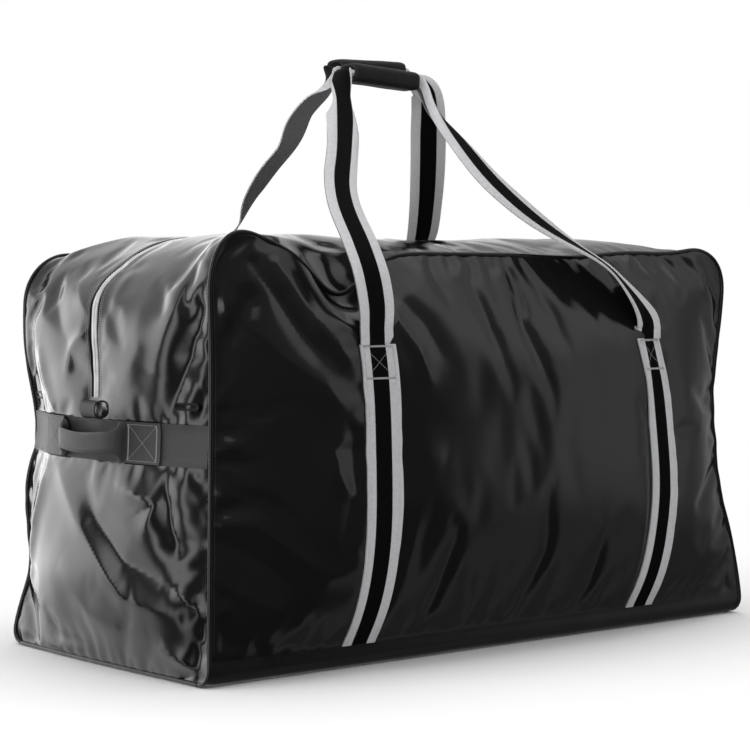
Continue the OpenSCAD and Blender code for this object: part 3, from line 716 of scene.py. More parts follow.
def lumps_and_puckers(a, b, seed, sizes, edge, reach):
    """The lumps and, apart from them, the puckers. Edge is the distance from the seam."""
    large, small, pucker = (height * ripples(a, b, cell, seed + k) for k, (height, cell) in enumerate(sizes))
    return large + small, pucker * np.exp(-np.maximum(edge, 0) / reach)


def path_length(path):
    """The length run so far at each place of a path."""
    return np.concatenate([[0], np.cumsum(np.linalg.norm(np.diff(path, axis=0), axis=-1))])


def fold_heights(a, b, folds):
    """The sum of folds over a cloth. Each fold: its line, its width, its height and its sharpness."""
    total = np.zeros_like(a)
    for line, width, height, sharp in folds:
        starts = path_length(line)
        near, along = np.full(a.shape, 1e9), np.zeros_like(a)
        for k, length in enumerate(np.linalg.norm(np.diff(line, axis=0), axis=1)):
            run = (line[k + 1] - line[k]) / length
            t = np.clip((a - line[k, 0]) * run[0] + (b - line[k, 1]) * run[1], 0, length)
            off = np.hypot(a - line[k, 0] - run[0] * t, b - line[k, 1] - run[1] * t)
            along = np.where(off < near, (starts[k] + t) / starts[-1], along)
            near = np.minimum(near, off)
        swell = 0.25 + 0.75 * np.sin(np.pi * np.clip(along, 0, 1)) ** 0.7
        round_fold = np.exp(-(near / width) ** 2)
        crease = np.exp(-near / (0.55 * width))
        total += height * swell * (sharp * crease + (1 - sharp) * round_fold)
    return total


# %% Folds of the long panels: width, height, sharpness, then x and z along the fold
def fold_table(text):
    return [(np.reshape(row[3:], (-1, 2)), *row[:3]) for row in table(text)]


FRONT_FOLDS = fold_table("""
    26 7.5 .35  -474 500 -430 440 -376 389 -325 352 -278 306,
    20 -6.5 .4  -400 510 -376 470 -350 425 -318 385, 18 5 .4  -372 515 -343 463 -312 415 -280 380,
    12 -2.5 .3  -410 480 -404 450, 13 4.5 .5  -488 330 -458 341 -418 374,
    12 -4 .4  -488 312 -452 308 -430 300, 13 4.2 .5  -488 284 -455 281 -427 290,
    12 -4.2 .4  -488 264 -445 268 -405 254, 12 4 .5  -488 243 -450 232 -430 226,
    12 -3.6 .4  -488 218 -450 212 -420 216, 16 5 .45  -488 198 -413 192 -360 148 -320 124 -284 128,
    18 -4.5 .4  -482 172 -440 168 -395 142 -352 108, 15 4.4 .5  -462 160 -450 122 -409 97 -349 69 -318 54,
    18 -4.5 .3  -300 330 -284 290 -284 230 -300 160, 12 3.2 .4  -322 290 -312 248 -280 215,
    20 -2.5 .2  -352 320 -345 270 -350 220, 16 -3.4 .3  -470 420 -452 380 -440 350,
    11 4.2 .5  -205 438 -182 398 -168 360, 16 -3 .3  -196 470 -160 430 -140 385,
    22 1.8 .2  -208 300 -190 272 -150 262, 14 -2.4 .3  110 492 150 470 185 462,
    14 2.6 .3  300 505 330 480 362 470, 12 2.2 .4  395 505 410 470 425 440,
    14 -2.6 .3  438 330 400 322 380 318, 14 2.4 .3  446 250 410 256 392 262
""")
BACK_FOLDS = fold_table("""
    26 6 .3  470 480 400 420 330 350 290 290, 20 -5 .3  380 505 340 450 290 400,
    14 4 .4  470 300 420 285 390 280, 14 -4 .4  470 250 420 240 385 250, 18 4 .4  460 160 400 130 330 70,
    22 4 .3  -460 470 -400 420 -340 340, 14 -3.5 .4  -470 260 -420 265 -390 275,
    18 3.5 .4  -460 150 -400 120 -330 60, 30 -3 .2  -150 480 -60 440 60 450, 26 2.4 .2  60 120 0 90 -90 100
""")


HELD_RUN, STRAP_HELD, STRAP_HELD_TOP = 16, 20, 420  # how cloth is held flat at seams and under straps
CALM_HALF, CALM_SHARE = 150, 0.45                   # the middle of a panel, and its share of the lumps


def panel_folds(grid, folds, straps, seed):
    """Presses folds into a long panel's grid, whose rows run down from the top seam."""
    x, z = grid[..., 0], grid[..., 2]
    edge = np.minimum(np.minimum(panel_half(z) - np.abs(x), z - BOOT_HEIGHT), SEAM_HEIGHT - z)
    held = ease(edge / HELD_RUN)
    for middle_x in straps:
        beside = ease((np.abs(x - middle_x) - STRAP_HELD) / HELD_RUN)
        held = held * np.where(z < STRAP_HELD_TOP, beside, 1)
    lumps, puckers = lumps_and_puckers(x, z, seed, PANEL_LUMPS, edge, PANEL_PUCKER_REACH)
    calm = CALM_SHARE + (1 - CALM_SHARE) * ease((np.abs(x) - CALM_HALF) / CALM_HALF)
    height = fold_heights(x, z, folds) + lumps * calm + puckers
    return grid + facing_out(grid) * (height * held)[..., None]


# %% Folds of the ends by Y and Z, and of the top by X and Y
LEFT_FOLDS = fold_table("""
    20 -6.5 .35  -222 492 -198 440 -178 385 -150 318, 24 3.5 .2  -178 500 -150 440 -128 370,
    16 5 .5  -60 236 -110 222 -140 216 -118 182, 18 -6 .45  -148 262 -150 232 -160 190 -176 150,
    20 5.5 .4  80 246 18 182 -78 98 -171 82, 20 -4.5 .35  20 246 -18 190 -78 140 -150 120,
    14 4.5 .5  -171 116 -205 96 -226 84, 14 4.5 .5  -138 40 -180 28 -215 18,
    15 6 .5  113 258 136 205 170 146 196 90, 12 -4.5 .4  160 255 186 190 204 130,
    13 4.5 .5  104 318 134 358 150 400, 13 -4 .4  170 318 186 372 190 420, 15 4 .45  118 508 86 480 30 440,
    18 -3.5 .3  160 500 120 450 70 405 36 372, 12 3.2 .4  64 366 58 398 18 426,
    24 3.5 .25  60 130 0 70 -60 52 -120 58, 20 -3 .3  180 60 100 34 20 30,
    22 2.6 .2  -60 340 -92 400 -84 460
""")
RIGHT_FOLDS = fold_table("""
    20 4.5 .35  200 480 150 420 110 360, 20 -4.5 .35  -200 470 -160 410 -120 350,
    22 5 .35  -80 246 -10 180 80 110 170 80, 22 -4 .3  100 250 40 200 -40 160 -140 130,
    16 4 .4  -190 230 -170 160 -180 90, 14 -4 .4  190 240 176 180 190 110, 20 3 .3  -140 40 -60 60 40 40
""")
TOP_FOLDS = fold_table("""
    16 4 .4  -440 -196 -400 -160 -360 -120, 16 -4.5 .35  -400 -204 -352 -176 -300 -160,
    22 -5 .35  -270 -204 -240 -160 -214 -104, 18 3.6 .3  -330 -204 -296 -150 -270 -90,
    20 3.2 .3  -190 -204 -150 -150 -90 -110, 18 4.5 .4  -430 190 -380 140 -330 90,
    20 -3.5 .3  -380 204 -320 160 -250 140, 24 -3 .3  120 -204 160 -150 230 -120,
    18 4 .35  430 -190 380 -140 330 -100, 18 4 .35  430 190 370 150 310 100,
    24 -2.5 .2  -60 200 0 150 90 120, 20 -3.5 .3  200 204 240 150 260 90
""")


SEAM_RUN, ZIP_HELD, BAND_HELD, BAND_RUN, FOOT_HELD, FOOT_RUN = 14, 4, 22, 12, 8, 20


def strip_folds(grid, seed):
    """Presses folds into the strip. Seams, zip, band and foot hold it flat."""
    x, y, z = grid[..., 0], grid[..., 1], grid[..., 2]
    on_top = ease((z - SHOULDER) / (CORNER_RADIUS * 0.9))
    edge = half_width(z) - np.abs(y)
    held = ease(edge / SEAM_RUN) * ease((z - FOOT_HELD) / FOOT_RUN)
    held = held * np.where(z > ZIP_LOW - 20, ease((np.abs(y) - SLOT - ZIP_HELD) / SEAM_RUN), 1)
    held = held * np.where(z < SHOULDER, ease((np.abs(z - BAND_HEIGHT) - BAND_HELD) / BAND_RUN), 1)
    lumps, puckers = lumps_and_puckers(y, z - np.abs(x), seed, STRIP_LUMPS, edge, STRIP_PUCKER_REACH)
    ends_height = np.where(x < 0, fold_heights(y, z, LEFT_FOLDS), fold_heights(y, z, RIGHT_FOLDS))
    top_height = fold_heights(x, y, TOP_FOLDS)
    height = ends_height * (1 - on_top) + top_height * on_top + lumps + puckers
    return grid + facing_out(grid) * (height * held)[..., None]


# %% The finished surfaces
fine_sheet, fine_strip = finer(settled[sheet_ids]), finer(settled[strip_ids])
front_rows = 2 * FRONT_ROWS - 1
for rows, folds_there, side, seed in ((slice(0, front_rows), FRONT_FOLDS, "front", 3),
                                      (slice(-front_rows, None), BACK_FOLDS, "back", 13)):
    fine_sheet[rows] = panel_folds(fine_sheet[rows], folds_there, STRAP_X[side], seed)
fine_strip = strip_folds(fine_strip, 23)
sheet_normals, strip_normals = facing_out(fine_sheet), facing_out(fine_strip)
print("fine sheet", fine_sheet.shape[:2], "fine strip", fine_strip.shape[:2])

# %% [markdown]
# ## Cut the skin into its panels
# The real bag is sewn from separate panels, and the part of the top that opens has to move. So the skin is cut at
# the seams, at the end webbing, along the zip and, on the top, at the middle. Each panel gets a real thickness and
# its own closed rim. Its shading normals come from the whole skin, so a cut in plain cloth doesn't show.

# %% A panel of cloth
CLOTH_THICK = 1.2


def grid_uv(grid):
    """Distances along both directions of a grid, in metres."""
    v, u = (np.concatenate([[0], np.cumsum(np.linalg.norm(np.diff(grid, axis=axis), axis=-1).mean(1 - axis))])
            * MM for axis in (0, 1))
    return np.stack(np.broadcast_arrays(u[None, :], v[:, None]), -1)


def closed_sheet(grid, normal, thick, uv):
    """Points, faces, shading normals and UVs of a grid with a thickness under it."""
    ids = np.arange(grid[..., 0].size).reshape(grid.shape[:2])
    points = np.concatenate([grid.reshape(-1, 3), (grid - normal * thick).reshape(-1, 3)])
    top = quads(*ids.shape)
    rim = np.concatenate([ids[0], ids[1:, -1], ids[-1, -2::-1], ids[-2:0:-1, 0]])
    after = np.roll(rim, -1)
    walls = np.stack([after, rim, rim + ids.size, after + ids.size], -1)
    faces = outward(points, np.concatenate([top, top[:, ::-1] + ids.size, walls]))
    shading = np.concatenate([normal.reshape(-1, 3), -normal.reshape(-1, 3)])
    return points, faces, shading, np.concatenate([uv.reshape(-1, 2)] * 2)


def follow(piece, nodes=(), body="bag"):
    """Hides the CAD nodes a piece stands for and puts it on the body it rides on."""
    if nodes:
        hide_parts(*nodes)
    if body:
        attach(piece, body)
    return piece


def cloth_piece(name, source, window, material, slot_name, nodes=(), body="bag"):
    """A panel cut from a surface, which is a grid, its normals and its UVs."""
    grid, normal, uv = (part[window] for part in source)
    points, faces, shading, uvs = closed_sheet(grid, normal, CLOTH_THICK, uv)
    return follow(make_mesh(name, points, faces, uvs, shading, [material]), nodes, body)


# %% The long panels and the base
SHEET = (fine_sheet, sheet_normals, grid_uv(fine_sheet))
STRIP = (fine_strip, strip_normals, grid_uv(fine_strip))
R = len(fine_sheet)
for name, rows in (("front", slice(0, front_rows)), ("back", slice(R - front_rows, R))):
    cloth_piece(f"{name}_cloth", SHEET, rows, cloth_finish, "coated_cloth", [f"{name}_panel"])
cloth_piece("base_cloth", SHEET, slice(front_rows - 1, R - front_rows + 1), base_finish, "base_cloth",
            ["bottom_panel"])

# %% The ends and the top
LINES, COLS = fine_strip.shape[:2]
band_line, foot_line = (int(np.argmin(np.abs(fine_strip[:LINES // 3, 0, 2] - height)))
                        for height in (BAND_HEIGHT, ZIP_LOW))
slot_cols = (2 * (ACROSS_COUNT - 1), 2 * (ACROSS_COUNT + 1))


def lift(piece):
    """Bakes a piece's transform into its mesh."""
    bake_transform(piece)


def strip_piece(name, mark, first, last, cols, *more):
    """A panel from the strip, between two lines counted from the foot of its end."""
    rows = slice(first, last) if mark < 0 else slice(LINES - last, LINES - first)
    return cloth_piece(name, STRIP, (rows, cols), cloth_finish, "coated_cloth", *more)


for side, mark in ENDS:
    strip_piece(f"{side}_end_cloth", mark, 0, band_line + 1, slice(0, COLS), [f"{side}_end_panel"])
    strip_piece(f"{side}_zip_foot_cloth", mark, band_line, foot_line + 1, slice(slot_cols[0], slot_cols[1] + 1))
    for face, cols in (("front", slice(0, slot_cols[0] + 1)), ("back", slice(slot_cols[1], COLS))):
        lift(strip_piece(f"{side}_{face}_top_cloth", mark, band_line, (LINES + 1) // 2, cols,
                         [f"{side}_{face}_gusset", f"{face}_flap"], None))
print("cloth pieces made")

# %% [markdown]
# ## Piping
# A round vinyl cord is sewn into the seam round each long panel and along the foot of each end. It follows the
# seam line of the settled cloth exactly, because both come from the same edge of the grid. A tube of rings does
# this well: it has no kinks at the corners, and a fan of triangles closes each of its ends.


# %% Paths and closed rings
def resample(path, step):
    """A path with places a set distance apart."""
    length = path_length(path[:, :3])
    places = np.linspace(0, length[-1], max(2, int(round(length[-1] / step)) + 1))
    return np.stack([np.interp(places, length, path[:, k]) for k in range(path.shape[1])], -1)


def smoothed(values, times=1):
    values = values.copy()
    for _ in range(times):
        values[1:-1] = (values[:-2] + 2 * values[1:-1] + values[2:]) / 4
    return values


def square_to(v, along):
    """The part of v that is square to a path, at length 1."""
    return unit(v - (v * along).sum(1, keepdims=True) * along)


def ring_piece(name, rings, materials, centres=None, uv=None, index=None):
    """A closed solid from rings of points. Its ends close in fans round two centres, or straight across."""
    rows, cols = rings.shape[:2]
    points = rings.reshape(-1, 3)
    faces = outward(points, quads(rows, cols, closed=True))
    ring, near = np.arange(cols), np.arange(cols // 2 - 1)
    across = np.stack([near, near + 1, cols - 2 - near, cols - 1 - near], -1)
    lids = [across + start for start in (0, (rows - 1) * cols)]
    if centres is not None:
        points = np.concatenate([points, centres])
        lids = [np.stack([ring + start, np.roll(ring, -1) + start, ring * 0 + rows * cols + k], -1)
                for k, start in enumerate((0, (rows - 1) * cols))]
    piece = make_mesh(name, points, faces, uv, None, materials, index)
    work = bmesh.new()
    work.from_mesh(piece.data)
    work.verts.ensure_lookup_table()
    for corners in np.concatenate(lids).tolist():
        work.faces.new([work.verts[c] for c in corners]).smooth = True
    bmesh.ops.recalc_face_normals(work, faces=work.faces)
    work.to_mesh(piece.data)
    work.free()
    return piece


def tube(name, path, radius, material, sides=10, up=(0, 1, 0)):
    along = unit(np.gradient(path, axis=0))
    side = unit(np.cross(along, np.broadcast_to(np.asarray(up, float), along.shape)))
    out = np.cross(side, along)
    turn = np.linspace(0, 2 * np.pi, sides, endpoint=False)[:, None]
    rings = path[:, None] + side[:, None] * (np.cos(turn) * radius) + out[:, None] * (np.sin(turn) * radius)
    return ring_piece(name, rings, [material], path[[0, -1]])


# %% Piping round the long panels and along the feet of the ends
for face, grid in (("front", fine_sheet), ("back", fine_sheet[::-1])):
    side_rows = 2 * SIDE_LINES - 1
    seam = np.concatenate([grid[:side_rows, 0][::-1][:-1], grid[0, :-1], grid[:side_rows, -1]])
    follow(tube(f"{face}_piping_cord", smoothed(seam, 2), PIPING_RADIUS, piping_finish),
           [f"{face}_piping"])
for side, line in (("left", 0), ("right", -1)):
    follow(tube(f"{side}_base_cord", fine_strip[line], PIPING_RADIUS, piping_finish, up=(1, 0, 0)),
           [f"{side}_base_piping"])
print("piping made")

# %% [markdown]
# ## Webbing sewn to the cloth
# Each carry strap runs from the base seam up the panel and is boxed with stitches where the handle leaves it.
# Webbing is laid on the settled cloth with rays, as it would be laid by hand and then sewn: a row of places is
# dropped straight onto the cloth, smoothed a little because webbing is stiff, and given its thickness.


# %% Dropping places onto the cloth
def surface(grid):
    return BVHTree.FromPolygons([Vector(p) for p in grid.reshape(-1, 3)], quads(*grid.shape[:2]).tolist())


sheet_surface, strip_surface = surface(fine_sheet), surface(fine_strip)


def dropped(tree, starts, direction):
    """Where rays from a grid of places meet a surface; a miss keeps its neighbour's depth."""
    found = np.array(starts, float)
    axis = int(np.argmax(np.abs(direction)))
    last = None
    flat = found.reshape(-1, 3)
    for k, place in enumerate(flat):
        hit = tree.ray_cast(Vector(place), Vector(direction))[0]
        last = last if hit is None else hit[axis]
        if last is not None:
            flat[k, axis] = last
    return flat.reshape(found.shape)


def laid(grid, axis, sign, passes=4, gap=0.35):
    """Smooths dropped places along their rows, and never lets them sink under the cloth."""
    depth = grid[..., axis] * sign
    soft = depth.copy()
    for _ in range(passes):
        soft = np.maximum(smoothed(soft), depth)
    grid = grid.copy()
    grid[..., axis] = (soft + gap) * sign
    return grid


def edges_sharp(piece, angle):
    """Keeps edges crisp where faces meet at more than an angle."""
    piece.data.set_sharp_from_angle(angle=math.radians(angle))


def tape_uv(shares, length):
    return np.stack(np.broadcast_arrays(shares[None, :], length[:, None] * MM), -1)


def flat_tape(name, top, normal, thick, line, materials, angle):
    """A flat tape under a grid of places. Its length is measured along the line."""
    rows, cols = top.shape[:2]
    uv = tape_uv(np.linspace(0, 1, cols), path_length(line))
    points, faces, _, uvs = closed_sheet(top, normal, thick, uv)
    count = (rows - 1) * (cols - 1)
    index = np.zeros(len(faces), int)
    index[count:2 * count] = len(materials) - 1
    piece = make_mesh(name, points, faces, uvs, None, materials, index)
    edges_sharp(piece, angle)
    return piece


def webbing_piece(name, grid, thick, materials, nodes):
    """Flat webbing on a grid of places; rows run along it."""
    normal = facing_out(grid)
    line = grid[:, grid.shape[1] // 2]
    piece = flat_tape(name, grid + normal * thick, normal, thick, line, materials, 50)
    return follow(piece, nodes)


# %% Straps on the long panels
SEWN_TOP, SEWN_PLACES, STRAP_MIDDLE = 405.0, 110, 7
# The front right strap isn't sewn on quite straight: heights, and how far it has wandered there
STRAP_WANDER = table("""30 80 135 190 218 245 272 300 325 352 378 405,
    7 9 8.5 9.5 8.5 6.5 4 1 -2 -6.5 -12.5 -17""")
strap_tops = {}
for face, sign in FACES:
    for side, middle_x in zip(("left", "right"), STRAP_X[face]):
        z = np.linspace(BOOT_HEIGHT - 0.5, SEWN_TOP, SEWN_PLACES)
        x = middle_x + np.linspace(-STRAP_WIDTH / 2, STRAP_WIDTH / 2, 2 * STRAP_MIDDLE + 1)
        wander = -2 * ease((90 - z) / 90) * (face == "front")
        if (face, side) == ("front", "right"):
            wander = np.interp(z, *STRAP_WANDER)
        start = np.stack(np.broadcast_arrays(x[None, :] + wander[:, None], np.array(sign * 600.0),
                                             z[:, None]), -1)
        grid = laid(dropped(sheet_surface, start, (0, -sign, 0)), 1, sign)
        webbing_piece(f"{face}_{side}_sewn_strap", grid, STRAP_THICKNESS, STRIPED,
                      [f"{face}_{side}_strap"])
        strap_tops[face, side] = grid
print("sewn straps laid")

# %% [markdown]
# ## Handles
# Each handle is one length of webbing from sewn end to sewn end. On its way it turns, leans over the bag, and is
# folded lengthwise where the grip closes round it. A section that can curl is swept along a smooth route: at a
# fold of 0 it is flat, at 1 its edges meet behind it. The route's stops are close to the ones of the CAD handle.

# %% Routes of the handles
STRAP_SPACING, GRIP_HEIGHT, GRIP_LENGTH, GRIP_SPACING, GRIP_STEP = 500.0, 761.0, 113.0, 46.0, 14.0
STRAP_Y, LEAN_STARTS, LEAN_SOFTNESS, GRIP_LEAD = 261.16, SEAM_HEIGHT - 12, 12.0, 5.0


def handle_y(z):
    ramp = LEAN_SOFTNESS * np.log1p(np.exp((z - LEAN_STARTS) / LEAN_SOFTNESS))
    return np.maximum(GRIP_SPACING / 2,
                      STRAP_Y - (STRAP_Y - GRIP_SPACING / 2) * ramp / (GRIP_HEIGHT - LEAN_STARTS))


# Stops: x as a share of half the spacing, share of the rise, turn in degrees, fold, and an offset in widths.
# The left legs run from the strap to the grip, the right legs from the grip to the strap.
ROUTES = {
    ("front", "left"): table("""
        -1 0 0 0 0, -1 .03 0 0 0, -1 .06 0 0 0, -.99 .14 -4 0 0, -1 .25 -5 0 0, -.99 .35 -4 .04 0,
        -.955 .47 0 .05 0, -.88 .57 9 .05 0, -.745 .68 13 .08 0, -.585 .82 -2 .25 0, -.53 .88 -8 .85 0,
        -.49 .93 -22 1 0
    """),
    ("front", "right"): table("""
        .124 .95 -75 .96 0, .125 .88 -46 .7 0, .155 .76 -12 .2 0, .21 .59 -2 .08 0, .364 .43 -8 0 0,
        .655 .29 -36 0 0, .81 .2 -42 0 0, .935 .12 -28 0 0, 1 .06 -6 0 0, 1 .03 0 0 0, 1 0 0 0 0
    """),
    ("back", "left"): table("""
        -1 0 0 0 0, -1 .03 0 0 0, -1 .06 0 0 0, -.94 .13 0 0 0, -.82 .21 -8 0 0, -.61 .3 -22 0 0,
        -.44 .4 -38 0 0, -.41 .48 -44 0 0, -.43 .56 -27 0 0, -.416 .66 -19 0 0, -.375 .76 -19 .03 0,
        -.4 .86 -16 0 0, -.345 .955 -24 .1 0
    """),
    ("back", "right"): table("""
        .27 1.01 -135 .7 0, .42 .96 -180 .25 0, .589 .82 -202 .1 0, .75 .68 -202 .08 0, .91 .53 -191 .05 0,
        1.025 .4 -184 0 0, 1.04 .33 -163 0 .06, 1.01 .26 -130 0 .14, 1 .19 -86 0 .23, 1 .12 -42 0 .2,
        1 .06 -14 0 .11, 1 .03 0 0 .03, 1 0 0 0 0
    """),
}
# Where each grip is: its middle's x, its height, and how far its right end hangs lower
GRIP_ENDS = {"front": (-35, GRIP_HEIGHT, 6), "back": (-20, GRIP_HEIGHT + GRIP_STEP, -3)}


def grip_line(face):
    shift, height, drop = GRIP_ENDS[face]
    return np.array([[shift + k * GRIP_LENGTH / 2, height - k * drop / 2] for k in (-1, 1)])


def catmull(stops, steps):
    """A smooth curve through stops, each a row of numbers."""
    p = np.asarray(stops, float)
    p = np.concatenate([p[:1], p, p[-1:]])
    t = np.arange(steps)[:, None] / steps
    parts = [0.5 * (2 * b + (c - a) * t + (2 * a - 5 * b + 4 * c - d) * t ** 2
                    + (3 * b - a - 3 * c + d) * t ** 3)
             for a, b, c, d in zip(p[:-3], p[1:-2], p[2:-1], p[3:])]
    return np.concatenate(parts + [p[-2:-1]])


def handle_stops(face):
    """The stops of a whole handle: x, y and z in millimetres, turn, and fold."""
    start, end = grip_line(face)
    lead = unit(end - start) * GRIP_LEAD

    def leg(side):
        for x, rise_share, turn, fold, off in ROUTES[face, side]:
            z = STRAP_LEAVES + (GRIP_HEIGHT - STRAP_LEAVES) * rise_share
            yield [x * STRAP_SPACING / 2, -handle_y(z) - off * STRAP_WIDTH, z, turn, fold]

    inside = ([start - 2 * lead, start - lead] + [start + (end - start) * k / 4 for k in range(5)]
              + [end + lead, end + 2 * lead])
    return [*leg("left"), *([x, -GRIP_SPACING / 2, z, -90, 1] for x, z in inside), *leg("right")]


# %% A section that folds, swept along a route
SECTION, EDGE_TURN = 21, math.radians(168)  # places across the webbing, and how far its edges turn over
WAVE_HEIGHT, WAVE_CELL, WAVE_SEED = 0.9, 55, 31


def folded_section(fold, width, thick, flat):
    """Outline of folded webbing: first its outer face, then its inner face back again."""
    s = np.linspace(-width / 2, width / 2, SECTION)
    bend = EDGE_TURN * fold ** 0.8
    turn = bend * ease((np.abs(s) - flat) / (0.13 * width + 0.2 * width * (1 - fold))) * np.sign(s)
    step, bend = np.diff(s), (turn[1:] + turn[:-1]) / 2
    middle_line = np.concatenate([[[0, 0]], np.cumsum(np.stack([np.cos(bend) * step, -np.sin(bend) * step], -1),
                                                      axis=0)])
    middle_line += [0, 2.2 * fold ** 2] - middle_line[SECTION // 2]
    half = np.stack([np.sin(turn), np.cos(turn)], -1) * thick / 2
    return np.concatenate([middle_line + half, (middle_line - half)[::-1]])


def swept_webbing(name, spot, out, fold, width, thick, materials, nodes, body="bag", flat=11.0):
    """Webbing along places. Out points away from its outer face; fold says how far it is folded."""
    along = unit(np.gradient(spot, axis=0))
    out = square_to(out, along)
    over = np.cross(out, along)
    sections = np.stack([folded_section(f, width, thick, flat) for f in fold])
    length = path_length(spot)
    wave = WAVE_HEIGHT * ripples(length, length * 0, WAVE_CELL, WAVE_SEED)[:, None, None]
    wave = wave * (sections[..., 0:1] / 32) ** 2
    rings = spot[:, None] + over[:, None] * sections[..., 0:1] + out[:, None] * (sections[..., 1:2] + wave)
    rows, cols = rings.shape[:2]
    shares = np.linspace(0, 1, SECTION)
    uv = tape_uv(np.concatenate([shares, shares[::-1]]), length).reshape(-1, 2)
    back = (np.arange(cols) >= SECTION - 1) * (np.arange(cols) < cols - 1) * (len(materials) - 1)
    piece = ring_piece(name, rings, materials, None, uv, np.tile(back, rows - 1))
    edges_sharp(piece, 60)
    return follow(piece, nodes, body)


# %% The handles
FOOT_BLEND = (0.404, 0.440)  # two heights in metres; the points made from them below are not used
for face, sign in FACES:
    path = resample(smoothed(catmull(handle_stops(face), 6), 2), 4.0)
    spot, turn, fold = path[:, :3].copy(), np.radians(path[:, 3:4]), np.clip(path[:, 4], 0, 1)
    mirror = np.array([1, -sign, 1])
    for side, k in (("left", 0), ("right", -1)):
        shift = strap_tops[face, side][-1, STRAP_MIDDLE] * mirror - [0, STRAP_THICKNESS / 2, 0] - spot[k]
        near = ease(1 - (spot[:, 2] - spot[k, 2]) / 120) * (np.abs(spot[:, 0] - spot[k, 0]) < 130)
        spot += shift * near[:, None]
    along = unit(np.gradient(spot, axis=0))
    slope = (handle_y(spot[:, 2] - 1) - handle_y(spot[:, 2] + 1)) / 2 * (1 - fold)
    front = square_to(np.stack([slope * 0, slope * 0 - 1, slope], -1), along)
    out = front * np.cos(turn) + np.cross(along, front) * np.sin(turn)
    piece = swept_webbing(f"{face}_handle_strap", spot * mirror, out * mirror, fold, STRAP_WIDTH, STRAP_THICKNESS,
                          STRIPED, [f"{face}_handle_webbing"], None)
    start, end = ((0, 0, height) for height in FOOT_BLEND)
    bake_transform(piece)
print("handles swept")

# %% [markdown]
# ## Grips
# A grip is a padded cloth sleeve closed round the folded webbing. It is made as rings along the handle's straight
# run: they turn inwards at both ends, as the sleeve's hem does, and bulge a little in between, as foam does.

# %% Padded sleeves
GRIP_WIDTH, GRIP_THICKNESS, GRIP_SQUARE = 40.0, 26.0, 0.62
HEM = table("6 .34, 1.2 .62, -.8 .8, .6 .94, 4 1, 9 1.015")  # place along the grip, and share of its size
turn = np.linspace(0, 2 * np.pi, 40, endpoint=False)
ring_y, ring_z = (np.sign(part) * np.abs(part) ** GRIP_SQUARE * size / 2
                  for part, size in ((np.cos(turn), GRIP_WIDTH), (np.sin(turn), GRIP_THICKNESS)))
seam = 0.9 * np.exp(-((turn - 1.5 * np.pi) / 0.13) ** 2)
for face, sign in FACES:
    (left_x, left_z), end = grip_line(face)
    run = end - (left_x, left_z)
    length = float(np.linalg.norm(run))
    along = np.array([run[0], 0, run[1]]) / length
    up = np.array([-along[2], 0, along[0]])
    places = HEM + [(x, 1.02 + 0.012 * math.sin(x / 9.0)) for x in np.linspace(14, length - 14, 24)]
    places += [(length - x, scale) for x, scale in HEM[::-1]]
    start = np.array([left_x, sign * GRIP_SPACING / 2, left_z])
    rings = []
    for x, scale in places:
        dent = 0.35 * ripples(np.full(len(turn), x), turn * 12, 14, 41)
        size = scale * (1 - seam * 0.06) + dent / 26
        rings.append(start + along * x + np.outer(ring_y * size, [0, 1, 0]) + np.outer(ring_z * size, up))
    piece = ring_piece(f"{face}_grip_sleeve", np.array(rings), [grip_finish],
                       [start + along * 6, start + along * (length - 6)])
    follow(piece, [f"{face}_handle_grip"], f"{face}_handle")
print("grips made")

# %% [markdown]
# ## What repeats: Geometry Nodes
# Stitches and zip teeth are one small shape many times over. A Geometry Nodes tree puts that shape on each point of
# a mesh and turns it by two attributes of the point: along, the way the row runs, and out, the way the cloth faces.
# Its sizes are named inputs, so one tree serves every seam. A modifier's input is set by its socket's identifier.


# %% The tree: one small shape on each point
def repeat_tree(name, material, segments, rings):
    tree = bpy.data.node_groups.new(name, "GeometryNodeTree")
    face = tree.interface
    face.new_socket("Points", in_out="INPUT", socket_type="NodeSocketGeometry")
    for size, value in (("Length", 0.003), ("Width", 0.001), ("Height", 0.001)):
        socket = face.new_socket(size, in_out="INPUT", socket_type="NodeSocketFloat")
        socket.default_value, socket.min_value = value, 0.0001
    face.new_socket("Row", in_out="OUTPUT", socket_type="NodeSocketGeometry")
    given = tree.nodes.new("NodeGroupInput").outputs
    size = add_node(tree, "ShaderNodeCombineXYZ", X=given["Length"], Y=given["Width"], Z=given["Height"])
    ball = add_node(tree, "GeometryNodeMeshUVSphere", Segments=segments, Rings=rings, Radius=0.5)
    one = add_node(tree, "GeometryNodeTransform", Geometry=ball.outputs[0], Scale=size.outputs[0])
    along, out = (add_node(tree, "GeometryNodeInputNamedAttribute", data_type="FLOAT_VECTOR", Name=word)
                  for word in ("along", "out"))
    turn = add_node(tree, "FunctionNodeAlignRotationToVector", axis="X", Vector=along.outputs[0])
    turn = add_node(tree, "FunctionNodeAlignRotationToVector", axis="Z", pivot_axis="X",
                    Rotation=turn.outputs[0], Vector=out.outputs[0])
    copies = add_node(tree, "GeometryNodeInstanceOnPoints", Points=given["Points"],
                      Instance=one.outputs[0], Rotation=turn.outputs[0])
    real = add_node(tree, "GeometryNodeRealizeInstances", Geometry=copies.outputs[0])
    painted = add_node(tree, "GeometryNodeSetMaterial", Geometry=real.outputs[0], Material=material)
    add_node(tree, "NodeGroupOutput", Row=painted.outputs[0])
    return tree


# %% Rows along lines
def row_points(line, out, pitch, slant=0.0):
    """Places, directions and facings of a row along a line; slant turns each piece across it."""
    path = resample(np.concatenate([line, out], 1), pitch)
    spot, facing = path[:, :3], unit(path[:, 3:])
    along = unit(np.gradient(smoothed(spot), axis=0))
    across = np.cross(facing, along)
    return np.stack([spot, along * math.cos(slant) + across * math.sin(slant), facing], 1)


